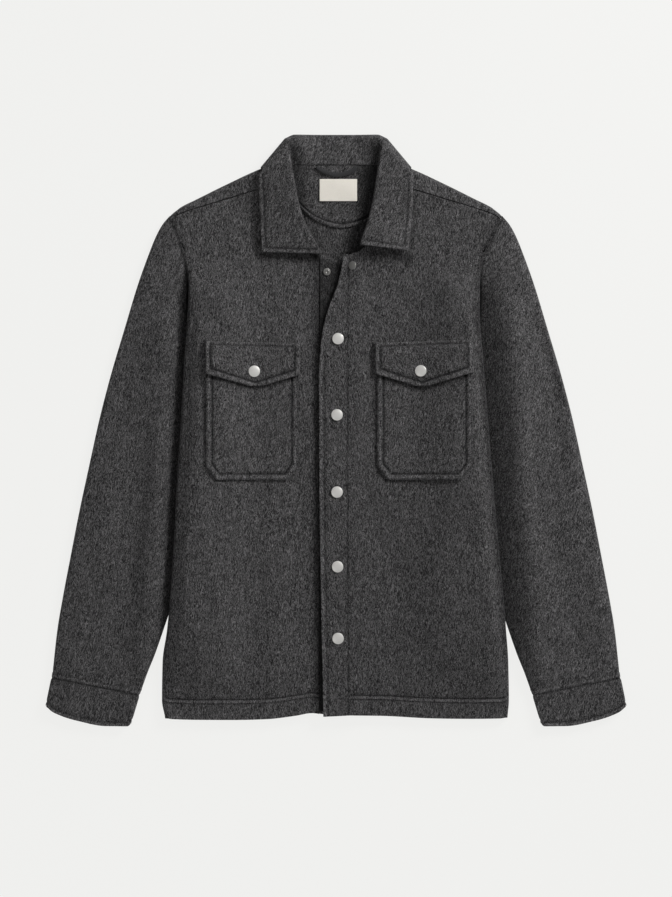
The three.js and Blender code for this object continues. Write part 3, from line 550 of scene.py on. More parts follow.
def shoulder_line(x):
    fold = read_table(SHOULDER_FOLD, "x", "y", np.abs(x))
    return np.where(np.abs(x) < NECK_EDGE, fold - SEAM - 1.8, fold - FOLD_OUTER)


def build_back():
    steps = 96
    x = np.broadcast_to(back_distances, (len(HEM_ROWS) + steps, len(back_distances)))
    y = row_heights(back_distances, shoulder_line(back_distances), steps)
    part = (back_reach - LIFT_OUTER) / (BACK_EDGE - LIFT_OUTER)
    for _ in range(4):
        edge = np.where(back_sides < 0, side_edge(-1, y), side_edge(1, y)) - back_inset(y)
        x = np.where(part > 0, back_sides * mix(LIFT_OUTER, edge, part), back_distances)
        top = shoulder_line(x[-1])
        y = np.array([row_heights(x[row], top, steps)[row] for row in range(len(x))])
    grid = [np.stack([x[row], y[row], back_low(x[row], y[row]) + WALL / 2], -1) for row in range(len(x))]
    ends = grid[-1].copy()
    distance = np.abs(ends[:, 0])
    over = distance >= NECK_EDGE
    ahead = read_table(SHOULDER_FOLD, "x", "y", distance + 2)
    behind = read_table(SHOULDER_FOLD, "x", "y", distance - 2)
    slope = np.where(over, (ahead - behind) / 4, 0)
    slope = np.where(distance > 205, 0, slope)
    outward = np.stack([-slope * np.sign(ends[:, 0]), np.ones(len(ends))], -1)
    outward /= np.linalg.norm(outward, axis=1, keepdims=True)
    run = np.full(len(ends), 0.5)
    for _ in range(4):
        landing = np.abs(ends[:, 0] - outward[:, 0] * run)
        to_seam = (ends[:, 1] - seam_at(landing) - 2.5 * SEAM) / outward[:, 1]
        run = np.where(over, np.maximum(0.3, to_seam), 0.5)
    angle = np.radians(np.where(over, 180, 20))
    for part_turned in np.linspace(0, 1, 9)[1:]:
        turn = angle * part_turned
        line = ends.copy()
        line[:, :2] += outward * (FOLD_RADIUS * np.sin(turn))[:, None]
        line[:, 2] += FOLD_RADIUS * (1 - np.cos(turn))
        grid.append(line)
    turned = grid[-1].copy()
    for part_laid in (0.25, 0.5, 0.75, 1):
        line = turned.copy()
        line[:, :2] += outward * (np.cos(angle) * run * part_laid)[:, None]
        line[:, 2] += np.sin(angle) * run * part_laid
        line[:, 2] += neck_lift(line[:, 0], line[:, 1]) - neck_lift(turned[:, 0], turned[:, 1])
        grid.append(line)
    grid = np.array(grid)
    above = np.full(grid.shape[:2], WALL / 2)
    above[:11] += HEM_EXTRA
    # Painted shade on the inside of the back seen at the neck, deeper on the left front's side
    inside = smooth((80 - np.abs(grid[..., 0])) / 6) * smooth((grid[..., 1] - 205) / 12)
    painted_shading = -inside * (0.2 + 0.5 * smooth((grid[..., 0] - 2) / 24))
    return cloth_mesh("back_cloth", grid, WALL / 2, above, shade=painted_shading)


back = build_back()
declare_cloth(back, body_wool, "back")

# Fronts
# A right and a left front of the same wool. Each lies on the back, turns under round its side and
# ends at the side seam; the left one climbs to the placket. Both hems are turned up and twin-stitched.
STAND_LEFT = -21.5
STAND_RIGHT = 14
NECK_POINT = 73
NECKLINE = {"x": (14, 30, 40, 54, 66, 73), "y": (228.5, 233, 242, 262, 292, 320)}
FOLD_STEPS = 9
TUCK_UNDER = 1.0
STITCH_GROOVE = 1.1
# Shares added to the wool's colour: darker in stitch grooves for pressed nap and painted shade, and a painted
# highlight along ridges and edges
GROOVE_NAP_AND_SHADE, PAINTED_RIDGE_HIGHLIGHT = -0.9, 0.38
stitch_runs = []


def front_top_edge(distance):
    neck = read_table(NECKLINE, "x", "y", distance)
    return np.where(distance < NECK_POINT, neck, seam_at(distance))


def groove(offset, width=1.15):
    """A narrow dent where thread pulls the cloth in, with the wide soft dip around it."""
    return 0.72 * np.exp(-((offset / width) ** 2)) + 0.28 * np.exp(-((offset / (width * 3)) ** 2))


def hem_grooves(height):
    return sum(groove(height - line, 0.85) for line in HEM_STITCHES)


def build_front(side):
    steps = 118
    if side < 0:
        fixed = np.concatenate([np.linspace(-STAND_LEFT + SEAM, 34, 4), np.arange(38, 156, 4)])
    else:
        fixed = np.concatenate([np.linspace(0, PLACKET_CLIMB, 9), np.linspace(PLACKET_CLIMB, 155, 31)[1:]])
    fraction = np.linspace(0, 1, 13)[1:]
    columns = len(fixed) + len(fraction)
    rows = len(HEM_ROWS) + steps
    y = np.broadcast_to(np.linspace(-370, 275, rows)[:, None], (rows, columns))
    x = None
    for _ in range(4):
        if side < 0:
            inner = np.broadcast_to(fixed, (len(y), len(fixed)))
        else:
            seam = placket_seam(y[:, :1]) - TUCK_UNDER
            part = (fixed - PLACKET_CLIMB) / (155 - PLACKET_CLIMB)
            inner = np.where(fixed <= PLACKET_CLIMB, seam + fixed, mix(seam + PLACKET_CLIMB, 155, part))
        fold_start = side_edge(side, y[:, -1:]) - fold_inset(y[:, -1:])
        x = side * np.concatenate([inner, mix(155, fold_start, fraction)], axis=1)
        tops = front_top_edge(np.abs(x)) - SEAM
        y = np.array([row_heights(x[row], tops[row], steps)[row] for row in range(len(x))])
    flat = np.stack([x, y, front_low(x, y) + WALL / 2], -1)
    start = flat[:, -1]
    angle = fold_angle(start[:, 1])
    lines = [flat[:, column] for column in range(columns)]
    for part in np.linspace(0, 1, FOLD_STEPS + 1)[1:]:
        line = start.copy()
        line[:, 0] += side * FOLD_RADIUS * np.sin(angle * part)
        line[:, 2] -= FOLD_RADIUS * (1 - np.cos(angle * part))
        lines.append(line)
    turned = lines[-1]
    for part in (0.33, 0.66, 1):
        line = turned.copy()
        run = side_return(start[:, 1]) * part
        line[:, 0] += side * np.cos(angle) * run
        line[:, 2] -= np.sin(angle) * run
        lines.append(line)
    grid = np.stack(lines, axis=1)
    height = y - hem_at(x)
    extra = HEM_EXTRA * (1 - smooth((height - 22) / 4)) - STITCH_GROOVE * hem_grooves(height)
    outside = np.full(grid.shape[:2], WALL / 2)
    outside[:, :columns] += extra
    outside[:, columns:columns + 3] += extra[:, -1:] * np.array((0.8, 0.5, 0.2))
    for line in HEM_STITCHES:
        run_x = x[0]
        run_y = hem_at(run_x) + line
        lift = 0.25 if line > 24 else HEM_EXTRA * 0.8
        run_z = front_top(run_x, run_y) + lift - STITCH_GROOVE
        stitch_runs.append(np.stack([run_x, run_y, run_z], -1))
    name = "front_left_cloth" if side > 0 else "front_right_cloth"
    across = np.cross(grid[60, 6] - grid[60, 5], grid[61, 5] - grid[60, 5])[2]
    below, above = (WALL / 2, outside) if across > 0 else (outside, WALL / 2)
    # Painted shading: the whole left front a little darker; painted shadow on the right front beside the
    # button stand and placket, under the collar leaves' lower edges, and in the crease where each front turns
    # under by the sleeves; the hem's stitch grooves darker, and a painted highlight on the ridge between them
    painted_shading = np.full(outside.shape, 0.0 if side < 0 else -0.1)
    if side < 0:
        painted_shading -= 0.62 * np.exp(-(((np.abs(grid[..., 0]) + STAND_LEFT) / 9) ** 2))
    across_leaf = smooth((np.abs(grid[..., 0]) - 12) / 16) * smooth((104 - np.abs(grid[..., 0])) / 8)
    painted_shading -= 0.5 * across_leaf * np.exp(-(((grid[..., 1] - 225) / 6.5) ** 2))
    turned_under = side_edge(side, grid[..., 1]) - np.abs(grid[..., 0])
    painted_shading += 0.9 * PAINTED_CREASE_SHADE * np.exp(-((turned_under / 6) ** 2)) * smooth((grid[..., 1] + 330) / 60)
    painted_shading[:, :columns] += 0.6 * GROOVE_NAP_AND_SHADE * hem_grooves(height) + PAINTED_RIDGE_HIGHLIGHT * groove(height - 23.2, 1.4)
    return cloth_mesh(name, grid, below, above, shade=painted_shading)


for side, node in ((-1, "front_right"), (1, "front_left")):
    front = build_front(side)
    declare_cloth(front, body_wool, node)

# Button stand and placket
# The right front's edge is doubled into a stand that lies under the placket; the placket is a doubled
# band sewn to the left front, stitched near both of its long edges and pulled a little by the snaps.
BAND_WALL = 3.4
PLACKET_STITCH = 6.5
PLACKET_SEAM_STITCH = 3.2
PLACKET_TOP = PLACKET_LOW + BAND_WALL
SNAPS = ((2.6, 119), (1.3, 20.2), (1.3, -80), (2.0, -176.8), (2.6, -269.8))
SNAP_DIMPLE = 0.7


def placket_ripple(x, y):
    """Slow ripple of the band between its snaps, and the dimple that each snap pulls."""
    dimples = sum(np.exp(-(np.hypot(x - sx, y - sy) / 13) ** 2) for sx, sy in SNAPS)
    ripple = 0.55 * np.sin(y / 13.5 + 0.6 * np.sin(y / 41)) * smooth((np.abs(x - 1) - 4) / 16)
    return ripple - SNAP_DIMPLE * dimples


def placket_surface(x, y):
    return PLACKET_TOP + placket_ripple(x, y)


def build_button_stand():
    x = np.linspace(STAND_LEFT + SEAM, STAND_RIGHT, 15)
    top = 228.5 - smooth((x - STAND_LEFT) / 30) * 8
    parts = np.concatenate([np.linspace(0, 0.95, 110), np.linspace(0.95, 1, 25)[1:]])
    y = np.array([mix(hem_at(x) + 4, top, part) for part in parts])
    x = np.broadcast_to(x, y.shape)
    z = back_top(x, y) + LAYER_GAP + BAND_WALL / 2
    z = z + 0.5 * smooth((y - 60) / 60) * np.sin(y / 19) * smooth((x + 30) / 20)
    # Painted shading on the stand under the placket: painted shade all over, deeper beside the placket's
    # edge, and a painted highlight along its top edge
    placket_edge_shadow = np.exp(-(((placket_edge(y) - x) / 8) ** 2))
    painted_shading = 0.6 * np.exp(-(((top - y - 2) / 1.8) ** 2)) - 0.55 - 0.35 * placket_edge_shadow
    grid = np.stack([x, y, z], -1)
    return cloth_mesh("button_stand_cloth", grid, BAND_WALL / 2, BAND_WALL / 2, rim=1.1, shade=painted_shading)


def build_placket():
    parts = np.linspace(0, 1, 176)
    across = np.concatenate([
        np.linspace(0, 0.3, 12), np.linspace(0.3, 0.8, 12)[1:], np.linspace(0.8, 1, 10)[1:],
    ])
    y = np.array([mix(-371.5 + 1.8 * across, 228.5, part) for part in parts])
    edge, seam = placket_edge(y), placket_seam(y) - SEAM
    x = mix(edge, seam, across)
    grid = np.stack([x, y, np.full(x.shape, PLACKET_LOW + BAND_WALL / 2) + placket_ripple(x, y)], -1)
    open_part = 1 - 0.85 * smooth((y - 80) / 60)
    dents = 0.6 * open_part * groove(x - edge - PLACKET_STITCH) + 0.5 * groove(seam - x - PLACKET_SEAM_STITCH)
    swell = 0.35 * np.exp(-(((x - edge - 3) / 3) ** 2))
    above = BAND_WALL / 2 - STITCH_GROOVE * dents + swell
    for offset, from_seam in ((PLACKET_STITCH, False), (PLACKET_SEAM_STITCH, True)):
        run_y = np.linspace(-369, 225 if from_seam else 120, 160)
        run_x = placket_seam(run_y) - SEAM - offset if from_seam else placket_edge(run_y) + offset
        run_z = placket_surface(run_x, run_y) - STITCH_GROOVE + 0.25
        stitch_runs.append(np.stack([run_x, run_y, run_z], -1))
    # Painted highlight along the placket's folded edge, stronger where it stands open, and darker stitch
    # grooves for pressed nap and painted shade
    edges = (0.4 + 0.8 * open_part) * groove(x - edge - 2.2, 1.6)
    painted_shading = GROOVE_NAP_AND_SHADE * dents + PAINTED_RIDGE_HIGHLIGHT * edges
    return cloth_mesh("placket_cloth", grid, BAND_WALL / 2, above, rim=1.1, shade=painted_shading)


band_wool = wool_material("charcoal wool, bands", 0.98, -0.1)
declare_cloth(build_button_stand(), band_wool, "button_stand")
declare_cloth(build_placket(), band_wool, "placket")

# Chest pockets and flaps
# Patch pockets with turned edges and cut-off lower corners, sewn on with two rows of stitches that
# leave a soft ridge; over each lies a doubled flap cut to a blunt point and held by a snap.
POCKETS = (
    dict(name="pocket_right", side=-1, near=48.8, far=168.4, near_cut=62.4, far_cut=154.8),
    dict(name="pocket_left", side=1, near=53.3, far=176.8, near_cut=67.5, far_cut=162),
)
POCKET_TOP, POCKET_CUT, POCKET_LOW = 103.5, -45.8, -64.4
POCKET_HEM = 8.2
TURNED_EDGE = 0.55
FLAP_WALL = 3.0
FLAPS = (
    dict(
        name="flap_right", side=-1, near=46.8, far=168.7, near_y=72.2, far_y=73.5,
        tip=104, tip_y=55.3, near_top=113.4, far_top=115.4,
    ),
    dict(
        name="flap_left", side=1, near=51.1, far=176.8, near_y=73.5, far_y=74.8,
        tip=111.8, tip_y=55.3, near_top=113.4, far_top=117.4,
    ),
)
FLAP_HEM = 6.2
FLAP_SNAPS = {"flap_right": (-106, 76.7), "flap_left": (109.9, 77.2)}


def line_distance(x, y, line):
    """Distance of each point from a broken line, and how far along it the nearest place is."""
    nearest = np.full(x.shape, 1e9)
    along = np.zeros(x.shape)
    walked = 0.0
    for (x0, y0), (x1, y1) in zip(line[:-1], line[1:]):
        length = math.hypot(x1 - x0, y1 - y0)
        run = np.clip(((x - x0) * (x1 - x0) + (y - y0) * (y1 - y0)) / length, 0, length)
        off = np.hypot(x - x0 - run * (x1 - x0) / length, y - y0 - run * (y1 - y0) / length)
        along = np.where(off < nearest, walked + run, along)
        nearest = np.minimum(off, nearest)
        walked += length
    return nearest, along


def walk(line, step=6.0):
    """Points along a broken line, a step apart."""
    points = []
    for (x0, y0), (x1, y1) in zip(line[:-1], line[1:]):
        count = max(2, int(math.hypot(x1 - x0, y1 - y0) / step))
        points += [(mix(x0, x1, n / count), mix(y0, y1, n / count)) for n in range(count)]
    return np.array(points + [line[-1]], float)


def pocket_outline(pocket, inset):
    side, near, far = pocket["side"], pocket["near"] + inset, pocket["far"] - inset
    near_cut, far_cut = pocket["near_cut"] + inset * 0.45, pocket["far_cut"] - inset * 0.45
    low, cut = POCKET_LOW + inset, POCKET_CUT + inset * 0.35
    top = POCKET_TOP - 4
    points = ((near, top), (near, cut), (near_cut, low), (far_cut, low), (far, cut), (far, top))
    return [(side * x, y) for x, y in points]


def build_pocket(pocket):
    side, near, far = pocket["side"], pocket["near"], pocket["far"]
    distance = np.linspace(near, far, 84)
    near_part = (distance - near) / (pocket["near_cut"] - near)
    far_part = (distance - pocket["far_cut"]) / (far - pocket["far_cut"])
    low = np.where(distance < pocket["near_cut"], mix(POCKET_CUT, POCKET_LOW, near_part), POCKET_LOW)
    low = np.where(distance > pocket["far_cut"], mix(POCKET_LOW, POCKET_CUT, far_part), low)
    y = np.array([mix(low, POCKET_TOP, part) for part in np.linspace(0, 1, 112)])
    x = np.broadcast_to(side * distance, y.shape)
    off, along = line_distance(x, y, pocket_outline(pocket, POCKET_HEM))
    rim_off, _ = line_distance(x, y, pocket_outline(pocket, 0))
    above = WALL / 2 - STITCH_GROOVE * groove(off) + TURNED_EDGE * np.exp(-(((rim_off - 4.2) / 2.9) ** 2))
    above = above + 0.2 * np.sin(along / 2.6) * np.exp(-((off / 5) ** 2))
    middle = front_top(x, y) + REST + WALL / 2
    run = walk(pocket_outline(pocket, POCKET_HEM))
    run_z = front_top(run[:, 0], run[:, 1]) + REST + WALL - STITCH_GROOVE + 0.2
    stitch_runs.append(np.column_stack([run, run_z]))
    edge = walk(pocket_outline(pocket, 1.9))
    edge_z = front_top(edge[:, 0], edge[:, 1]) + REST + WALL + 0.25
    stitch_runs.append(np.column_stack([edge, edge_z]))
    # Stitch grooves darker, painted shadow round the pocket's outer edge and under the flap, and a painted
    # highlight on the ridge inside the edge
    dark = groove(off) + 0.5 * groove(rim_off - 0.3, 0.9)
    painted_shading = GROOVE_NAP_AND_SHADE * dark + PAINTED_RIDGE_HIGHLIGHT * groove(rim_off - 4.2, 2.2)
    flap = next(flap for flap in FLAPS if flap["side"] == side)
    flap_shadow_distance, _ = line_distance(x, y, flap_outline(flap, -1.5))
    painted_shading = painted_shading - 0.5 * np.exp(-((flap_shadow_distance / 3.4) ** 2))
    walls = (WALL / 2, above) if side > 0 else (above, WALL / 2)
    return cloth_mesh(f"{pocket['name']}_cloth", np.stack([x, y, middle], -1), *walls, shade=painted_shading)


def flap_low(x, y):
    return front_top(x, y) + REST + (WALL + REST) * smooth((115 - y) / 9)


def flap_surface(flap, x, y):
    snap_x, snap_y = FLAP_SNAPS[flap["name"]]
    dimple = 0.5 * np.exp(-((np.hypot(x - snap_x, y - snap_y) / 13) ** 2))
    return flap_low(x, y) + FLAP_WALL - dimple


def flap_outline(flap, inset):
    side = flap["side"]
    near, far = flap["near"] + inset, flap["far"] - inset
    points = (
        (near, flap["near_top"] - inset * 0.7),
        (near, flap["near_y"] + inset * 1.1),
        (flap["tip"], flap["tip_y"] + inset * 1.1),
        (far, flap["far_y"] + inset * 1.1),
        (far, flap["far_top"] - inset * 0.7),
        (near, flap["near_top"] - inset * 0.7),
    )
    return [(side * x, y) for x, y in points]


def build_flap(flap):
    side, near, far, tip = flap["side"], flap["near"], flap["far"], flap["tip"]
    distance = np.linspace(near, far, 90)
    inner = mix(flap["near_y"], flap["tip_y"], (distance - near) / (tip - near))
    outer = mix(flap["tip_y"], flap["far_y"], (distance - tip) / (far - tip))
    low = np.where(distance < tip, inner, outer)
    low = low + 2.6 * np.exp(-(((distance - tip) / 5) ** 2))
    top = mix(flap["near_top"], flap["far_top"], (distance - near) / (far - near))
    y = np.array([mix(low, top, part) for part in np.linspace(0, 1, 44)])
    x = np.broadcast_to(side * distance, y.shape)
    middle = flap_surface(flap, x, y) - FLAP_WALL / 2
    off, along = line_distance(x, y, flap_outline(flap, FLAP_HEM))
    rim_off, _ = line_distance(x, y, flap_outline(flap, 0))
    above = FLAP_WALL / 2 - STITCH_GROOVE * groove(off) + 0.4 * np.exp(-(((rim_off - 3.4) / 2.4) ** 2))
    above = above + 0.15 * np.sin(along / 2.4) * np.exp(-((off / 4) ** 2))
    run = walk(flap_outline(flap, FLAP_HEM))
    run_z = flap_surface(flap, run[:, 0], run[:, 1]) - STITCH_GROOVE + 0.2
    stitch_runs.append(np.column_stack([run, run_z]))
    # Stitch grooves darker for pressed nap and painted shade, and a painted highlight on the ridge along the
    # flap's edge
    painted_shading = GROOVE_NAP_AND_SHADE * groove(off) + PAINTED_RIDGE_HIGHLIGHT * groove(rim_off - 3.0, 2.0)
    walls = (FLAP_WALL / 2, above) if side > 0 else (above, FLAP_WALL / 2)
    return cloth_mesh(f"{flap['name']}_cloth", np.stack([x, y, middle], -1), *walls, rim=1.0, shade=painted_shading)


pocket_wool = wool_material("charcoal wool, pockets", 1.0, 0.16)
flap_wool = wool_material("charcoal wool, flaps", 0.97, -0.2)
for pocket in POCKETS:
    declare_cloth(build_pocket(pocket), pocket_wool, pocket["name"])
for flap in FLAPS:
    declare_cloth(build_flap(flap), flap_wool, flap["name"])

# Sleeves
# Each sleeve is one piece of wool, a tube folded flat and set into the armhole; its inner fold runs
# in under the body. Long soft folds run down it from the shoulder, deeper beside the body.
SLEEVE_OUTER = {
    "y": (-313, -259, -220, -162, -103, -45, 14, 72, 131, 189, 229, 253, 268, 278.6),
    "x": (368, 362, 355.5, 344.5, 333, 320.5, 307.5, 292.5, 275, 257.5, 243.2, 233.4, 225, 216),
}
SLEEVE_INNER = {
    "y": (-336.5, -314, -293, -272, -246, -207, -162, -116, -71, -25, 40),
    "x": (252.6, 244.5, 236, 228.5, 219.7, 205.4, 190, 178, 170.3, 165.1, 161.2),
}
ARMHOLE_INSET = {"y": (40, 100, 140, 165, 190, 215, 235, 279), "inset": (37, 26, 18, 14, 11, 8, 3, 0)}
ARMHOLE_LOW, ARMHOLE_TOP = 40, 278.6
TUCK = 1.4
SLEEVE_CUT = (0.3, 0.62)
CUFF_OUTER = (368.4, -313.6)
CUFF_INNER = (252.8, -336.5)
SLEEVE_FOLDS = {
    -1: (
        (-236, 200, -262, 20, 16, 1.8),
        (-262, 150, -312, -60, 14, -1.2),
        (-290, -20, -330, -200, 15, 1.5),
        (-232, -20, -268, -230, 14, 1.7),
        (-262, -130, -300, -300, 13, -1.3),
        (-330, -180, -346, -300, 11, 1.1),
        (-262, -258, -322, -286, 9, 1.0),
        (-268, -284, -330, -306, 8, -0.9),
    ),
    1: (
        (226, 170, 236, -70, 15, 2.8),
        (262, 150, 286, -90, 13, -2.2),
        (296, 40, 324, -150, 15, 1.5),
        (238, -90, 276, -270, 14, 1.9),
        (276, -120, 306, -300, 12, -1.6),
        (300, 60, 320, -180, 11, -1.8),
        (322, -150, 348, -300, 12, 1.3),
        (256, -250, 316, -290, 9, 1.0),
        (266, -276, 334, -302, 8, -0.9),
    ),
}
TUBE_ARC = np.radians(np.linspace(-90, 90, 9))


def folded_tube(plan, wall, gap, rise):
    """A tube folded flat over a plan of rows and columns, from its outer fold to its inner one."""
    radius = (wall + gap) / 2
    loops = []
    along = np.gradient(plan, axis=0)
    for row, line in enumerate(plan):
        def bend(column, other, flip):
            out = np.array((-along[row, column, 1], along[row, column, 0]))
            out /= np.linalg.norm(out)
            if np.dot(out, line[column] - line[other]) < 0:
                out = -out
            centre = line[column] - out * (radius + wall / 2)
            turn = TUBE_ARC * flip
            flat = centre + out * (radius * np.cos(turn))[:, None]
            lift = smooth((np.sin(turn) + 1) / 2) * rise(*line[column])
            height = wall / 2 + radius + radius * np.sin(turn) + lift
            return np.column_stack([flat, height])
        upper = line[-2:0:-1]
        lower = line[1:-1]
        top_z = wall / 2 + 2 * radius + rise(upper[:, 0], upper[:, 1])
        loops.append(np.concatenate([
            bend(-1, -2, 1),
            np.column_stack([upper, top_z]),
            bend(0, 1, -1),
            np.column_stack([lower, np.full(len(lower), wall / 2)]),
        ]))
    return np.array(loops)


def fill_between(s, w, outer, inner, start, end):
    """Points between four edges that meet at their ends."""
    s, w = s[:, None, None], w[None, :, None]
    sides = outer[:, None] * (1 - w) + inner[:, None] * w
    ends = start[None] * (1 - s) + end[None] * s
    corners = (start[0] * (1 - w) + start[-1] * w) * (1 - s) + (end[0] * (1 - w) + end[-1] * w) * s
    return sides + ends - corners


def sleeve_plan(side):
    s = np.concatenate([np.linspace(0, 0.95, 108), np.linspace(0.95, 1, 17)[1:]])
    w = smooth(np.linspace(0, 1, 30)) * 0.5 + np.linspace(0, 1, 30) * 0.5
    y = mix(CUFF_OUTER[1] - TUCK, ARMHOLE_TOP, s)
    outer = np.stack([side * read_table(SLEEVE_OUTER, "y", "x", y), y], -1)
    y = mix(CUFF_INNER[1] - TUCK, ARMHOLE_LOW, s)
    inner = np.stack([side * read_table(SLEEVE_INNER, "y", "x", y), y], -1)
    start = mix(outer[0], inner[0], w[:, None])
    y = mix(ARMHOLE_TOP, ARMHOLE_LOW, w)
    x = side_edge(side, y) - TUCK - read_table(ARMHOLE_INSET, "y", "inset", y)
    end = np.stack([side * x, y], -1)
    end[0], end[-1] = outer[-1], inner[-1]
    return fill_between(s, w, outer, inner, start, end)


def sleeve_rise(side):
    def rise(x, y):
        body = side_edge(side, y)
        clear = smooth((np.abs(x) - body - 2) / 16) * smooth((300 - y) / 60)
        outer = read_table(SLEEVE_OUTER, "y", "x", y)
        edge = smooth((outer - np.abs(x)) / 14)
        beside = np.exp(-(((np.abs(x) - body) / (10 if side < 0 else 20)) ** 2)) * smooth((230 - y) / 60)
        ridge = np.exp(-(((np.abs(x) - body - (26 if side < 0 else 36)) / 15) ** 2)) * smooth((190 - y) / 60)
        height = (FOLD_DEPTH * folds_at(SLEEVE_FOLDS[side], x, y) + 1.2 + 5.5 * ridge) * edge
        return height * clear * smooth((y + 345) / 40) - 2.5 * beside * smooth((y + 300) / 60)
    return rise


sleeve_wool = wool_material("charcoal wool, sleeves", 1.0, 0.22)
for side, node in ((-1, "sleeve_right"), (1, "sleeve_left")):
    loops = folded_tube(sleeve_plan(side), WALL, LAYER_GAP, sleeve_rise(side))
    beside = np.abs(loops[..., 0]) - side_edge(side, loops[..., 1])
    # Painted shade in the crease beside the body, and a painted dark line along the armhole seam
    crease_shadow = np.exp(-((beside / (11 if side < 0 else 27)) ** 2)) * smooth((225 - loops[..., 1]) / 60)
    crease_shadow *= 1.35 if side < 0 else 1.1
    seam_line = np.exp(-((beside / 2.4) ** 2)) * smooth((loops[..., 1] - 130) / 50)
    painted_shading = PAINTED_CREASE_SHADE * crease_shadow - 0.65 * seam_line
    sleeve = cloth_mesh(f"{node}_cloth", loops, WALL / 2, WALL / 2, around=True, shade=painted_shading)
    declare_cloth(sleeve, sleeve_wool, node, flat=SLEEVE_CUT)

# Cuffs
# A doubled band closes each sleeve, stitched beside its seam and near its edge, folded flat with the
# sleeve and open at the hand.
CUFF_WALL = 3.0
CUFF_END = {
    "part": (0, 0.1, 0.38, 0.7, 0.94, 1),
    "x": (377.4, 367, 335.4, 298.2, 270.9, 266),
    "y": (-357, -366, -377, -383.8, -384, -380.6),
}
CUFF_SEAM_STITCH, CUFF_END_STITCH = 7.4, 5.0


def cuff_plan(side):
    s, w = np.linspace(0, 1, 40), np.linspace(0, 1, 56)
    top, low = np.array(CUFF_OUTER) - (0, SEAM), np.array((CUFF_END["x"][0], CUFF_END["y"][0]))
    outer = mix(top, low, s[:, None])
    top, low = np.array(CUFF_INNER) - (0, SEAM), np.array((CUFF_END["x"][-1], CUFF_END["y"][-1]))
    inner = mix(top, low, s[:, None])
    start = mix(outer[0], inner[0], w[:, None])
    end = np.stack([read_table(CUFF_END, "part", "x", w), read_table(CUFF_END, "part", "y", w)], -1)
    return fill_between(s, w, outer, inner, start, end) * (side, 1)


def cuff_rise(x, y):
    return 0.5 * np.sin(np.abs(x) / 13 + y / 60) + 0.35 * np.sin(np.abs(x) / 5.3)


for side, node in ((-1, "cuff_right"), (1, "cuff_left")):
    plan = cuff_plan(side)
    loops = folded_tube(plan, CUFF_WALL, LAYER_GAP - (CUFF_WALL - WALL), cuff_rise)
    depth = np.linalg.norm(loops - loops[:1], axis=2)
    from_end = np.linalg.norm(loops - loops[-1:], axis=2)
    dents = groove(depth - CUFF_SEAM_STITCH, 1.0) + 0.8 * groove(from_end - CUFF_END_STITCH, 1.0)
    outside = CUFF_WALL / 2 - STITCH_GROOVE * dents
    for line, first_row in ((CUFF_SEAM_STITCH, 0), (CUFF_END_STITCH, -1)):
        run = []
        for column in range(7, plan.shape[1] - 7):
            path = plan[:, column] if first_row == 0 else plan[::-1, column]
            reach = np.linalg.norm(path - path[0], axis=1)
            place = [np.interp(line, reach, path[:, axis]) for axis in (0, 1)]
            run.append((*place, CUFF_WALL * 2 + 2.2 + cuff_rise(*place) - STITCH_GROOVE + 0.2))
        stitch_runs.append(np.array(run))
    across = np.cross(loops[20, 30] - loops[20, 29], loops[21, 29] - loops[20, 29])[2]
    walls = (CUFF_WALL / 2, outside) if across > 0 else (outside, CUFF_WALL / 2)
    # Stitch grooves darker, painted shade at the cuff's seam to the sleeve, painted highlights along its
    # edges, and the whole cuff a little darker
    edge_highlight = groove(depth - 3.8, 2.0) + groove(from_end - 2.2, 1.8)
    painted_shading = GROOVE_NAP_AND_SHADE * (0.85 * dents + 0.5 * groove(depth - 0.2, 1.0)) + PAINTED_RIDGE_HIGHLIGHT * edge_highlight - 0.06
    cuff = cloth_mesh(f"{node}_cloth", loops, *walls, around=True, rim=1.0, shade=painted_shading)
    declare_cloth(cuff, sleeve_wool, node)

# Collar
# Double wool in one piece: a stand that rises from the neck seam, rolls over, and falls behind the
# neck and over the shoulders into two pointed leaves, stitched 6 mm inside their edges.
COLLAR_WALL = 3.2
COLLAR_GAP = 0.6
COLLAR_TOP = 384.2
RIGHT_LEAF_LIFT = 4.9
LEFT_LEAF_LIFT = 1.3
FALL_MIDDLE = COLLAR_WALL / 2
NECK_FOOT = 7.6
ROLL_RADIUS = (COLLAR_WALL + COLLAR_GAP) / 2
ROLL_OUTER = ROLL_RADIUS + COLLAR_WALL / 2
DIAGONAL_LOW, DIAGONAL_HIGH = np.array((101.4, 337.4)), np.array((67.6, 377.7))
LEAF_STITCH = 6.0
COLLAR_VOXEL = 0.00125
COLLAR_CUT = (0.45, 0.1)
LEAVES = {
    -1: {
        "row": (0, 1, 2, 3, 4, 5, 6),
        "out_x": (96.2, 97.2, 98.6, 99.8, 100.8, 91.5, 74), "out_y": (230.8, 250, 275, 303, 333, 341, 357),
        "roll_x": (17.5, 29, 41.5, 50, 55.4, 57, 60.5), "roll_y": (228.8, 249, 274, 305, 336, 346, 366),
        "stand": (9, 12, 15, 16, 15, 13, 6),
    },
    1: {
        "row": (0, 1, 2, 3, 4, 5, 6),
        "out_x": (94.3, 96, 98.2, 99.7, 100.2, 90.5, 72), "out_y": (232.7, 252, 277, 303, 333, 341, 357),
        "roll_x": (30.4, 35, 42.3, 48.5, 53, 54, 57), "roll_y": (240.6, 255, 277.6, 305, 336, 346, 366),
        "stand": (9, 12, 15, 16, 15, 13, 6),
    },
}
ROLL_LINE = {"y": (325, 336, 346, 366, 384), "x": (52.5, 54.5, 56, 59.5, 66)}


def collar_low(x, y):
    right = RIGHT_LEAF_LIFT * smooth((88 - x) / 34) * smooth((305 - y) / 50)
    left = LEFT_LEAF_LIFT * smooth((x + 75) / 40)
    return WALL * 2 + LAYER_GAP + 0.9 + neck_lift(x, y) + np.where(x > 0, right, left)


def leaf_middle(x, y):
    return collar_low(x, y) + COLLAR_WALL + COLLAR_GAP + COLLAR_WALL / 2


